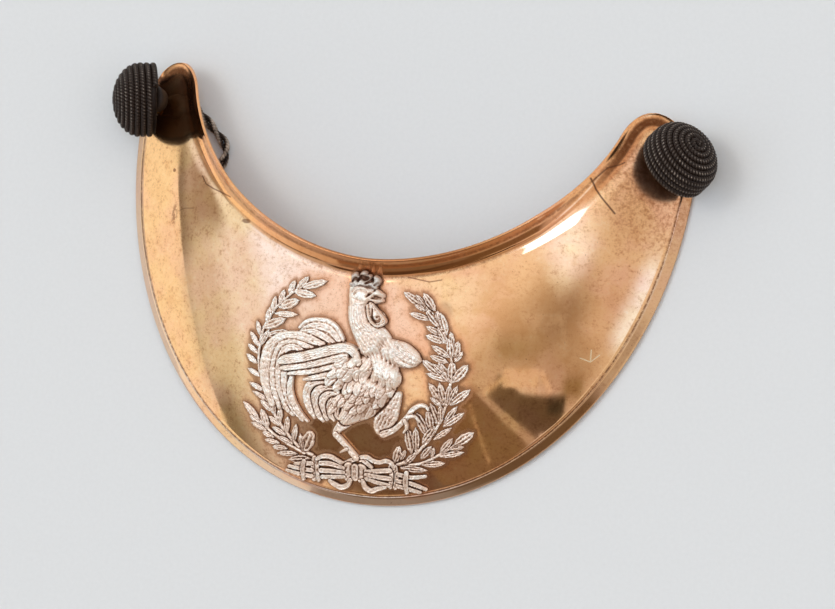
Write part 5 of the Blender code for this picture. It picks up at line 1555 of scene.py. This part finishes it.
def light_room():
    """The light round the table: pale walls, softboxes and dark stands, all by direction."""
    world = bpy.data.worlds.new("studio")
    bpy.context.scene.world = world
    f = Finish(world)
    toward = f.node("ShaderNodeTexCoord", output="Generated")
    colour = f.blend(f.step(f.part(toward, 2), -0.1, 1.0), ROOM_LOW, ROOM_HIGH)
    for azimuth, elevation, half_width, half_height, tilt, red, green, blue, soft in SURROUNDINGS:
        middle = direction(azimuth, elevation)
        level = direction(azimuth + 90, 0)
        raised = np.cross(middle, level)
        t = radians(tilt)
        across, up = cos(t) * level + sin(t) * raised, cos(t) * raised - sin(t) * level
        facing = f.vector("DOT_PRODUCT", toward, tuple(middle), output="Value")
        inside = []
        for axis, half in ((across, half_width), (up, half_height)):
            offset = f.vector("DOT_PRODUCT", toward, tuple(axis), output="Value")
            angle = abs(offset.math("ARCTAN2", offset, facing)) * (180 / pi)
            inside.append(f.step(angle, half + soft, half - soft))
        colour = f.blend(inside[0] * inside[1], colour, (red, green, blue, 1))
    background = f.node("ShaderNodeBackground", None, {"Color": colour, "Strength": 1.0})
    f.node("ShaderNodeOutputWorld", None, {"Surface": background})


def add_lamp(name, azimuth):
    """A large soft lamp that points at the middle of the table and isn't mirrored in the plate."""
    lamp = bpy.data.lights.new(name, "AREA")
    lamp.size = LAMP_SIZE
    lamp.energy = LAMP_POWER
    made = bpy.data.objects.new(name, lamp)
    made.visible_glossy = False
    bpy.context.scene.collection.objects.link(made)
    made.location = direction(azimuth, LAMP_ELEVATION) * LAMP_DISTANCE
    made.rotation_mode = "QUATERNION"
    made.rotation_quaternion = Vector(made.location).to_track_quat("Z", "Y")


def add_table(finish):
    corners = [(x * TABLE_HALF, y * TABLE_HALF, 0) for x, y in ((-1, -1), (1, -1), (1, 1), (-1, 1))]
    table = new_piece("table", corners, [(0, 1, 2, 3)], finish)


def add_camera():
    """The camera, set by the way it looks at its aim."""
    a, e, roll = radians(CAMERA_AZIMUTH), radians(CAMERA_ELEVATION), radians(CAMERA_ROLL)
    back = Vector((sin(a) * cos(e), -cos(a) * cos(e), sin(e)))
    level = Vector((0, 0, 1)).cross(back).normalized()
    raised = back.cross(level)
    right = cos(roll) * level + sin(roll) * raised
    up = back.cross(right)
    camera = bpy.data.objects.new("camera", bpy.data.cameras.new("camera"))
    camera.data.lens = LENS
    camera.matrix_world = Matrix((right, up, back)).transposed().to_4x4()
    camera.location = AIM + back * CAMERA_DISTANCE
    bpy.context.scene.collection.objects.link(camera)
    bpy.context.scene.camera = camera


def main():
    add_camera()
    light_room()
    for name, azimuth in LAMPS:
        add_lamp(name, azimuth)
    add_table(table_finish())

    twisted = cord_finish("twisted_cord", 0.62, 1.0)
    wound = cord_finish("wound_cord", 0.84, 1.05)
    gilt = gilt_finish()
    silver = silver_finish()
    brass = brass_finish()

    relief = make_relief()
    pieces = [
        (make_cord(-1, twisted), "cord_loop_left", "twisted_cord"),
        (make_cord(1, twisted), "cord_loop_right", "twisted_cord"),
        (make_plate(gilt, relief), "plate", "gilt_plate"),
        (make_emblem(relief, silver), "emblem", "silver_emblem"),
    ]
    for side, seat, axis in BUTTON_SEATS:
        pieces.append((make_button(side, seat, axis, wound), "button_" + SIDE_NAMES[side], "wound_cord"))
    for piece, node, slot in pieces:
        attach(piece, "root")
        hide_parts(node)
    for place, name in zip(PIN_PLACES, ("emblem_pin_top", "emblem_pin_bottom")):
        pin = rod(name, PIN_RADIUS, -WALL - PIN_BELOW, GAP, place, silver)
        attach(pin, "root")
    for side in ("left", "right"):
        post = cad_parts["button_post_" + side]
        post.data.materials.clear()
        post.data.materials.append(brass)

    bpy.context.scene.view_settings.view_transform = "Standard"


main()
bpy.context.view_layer.update()
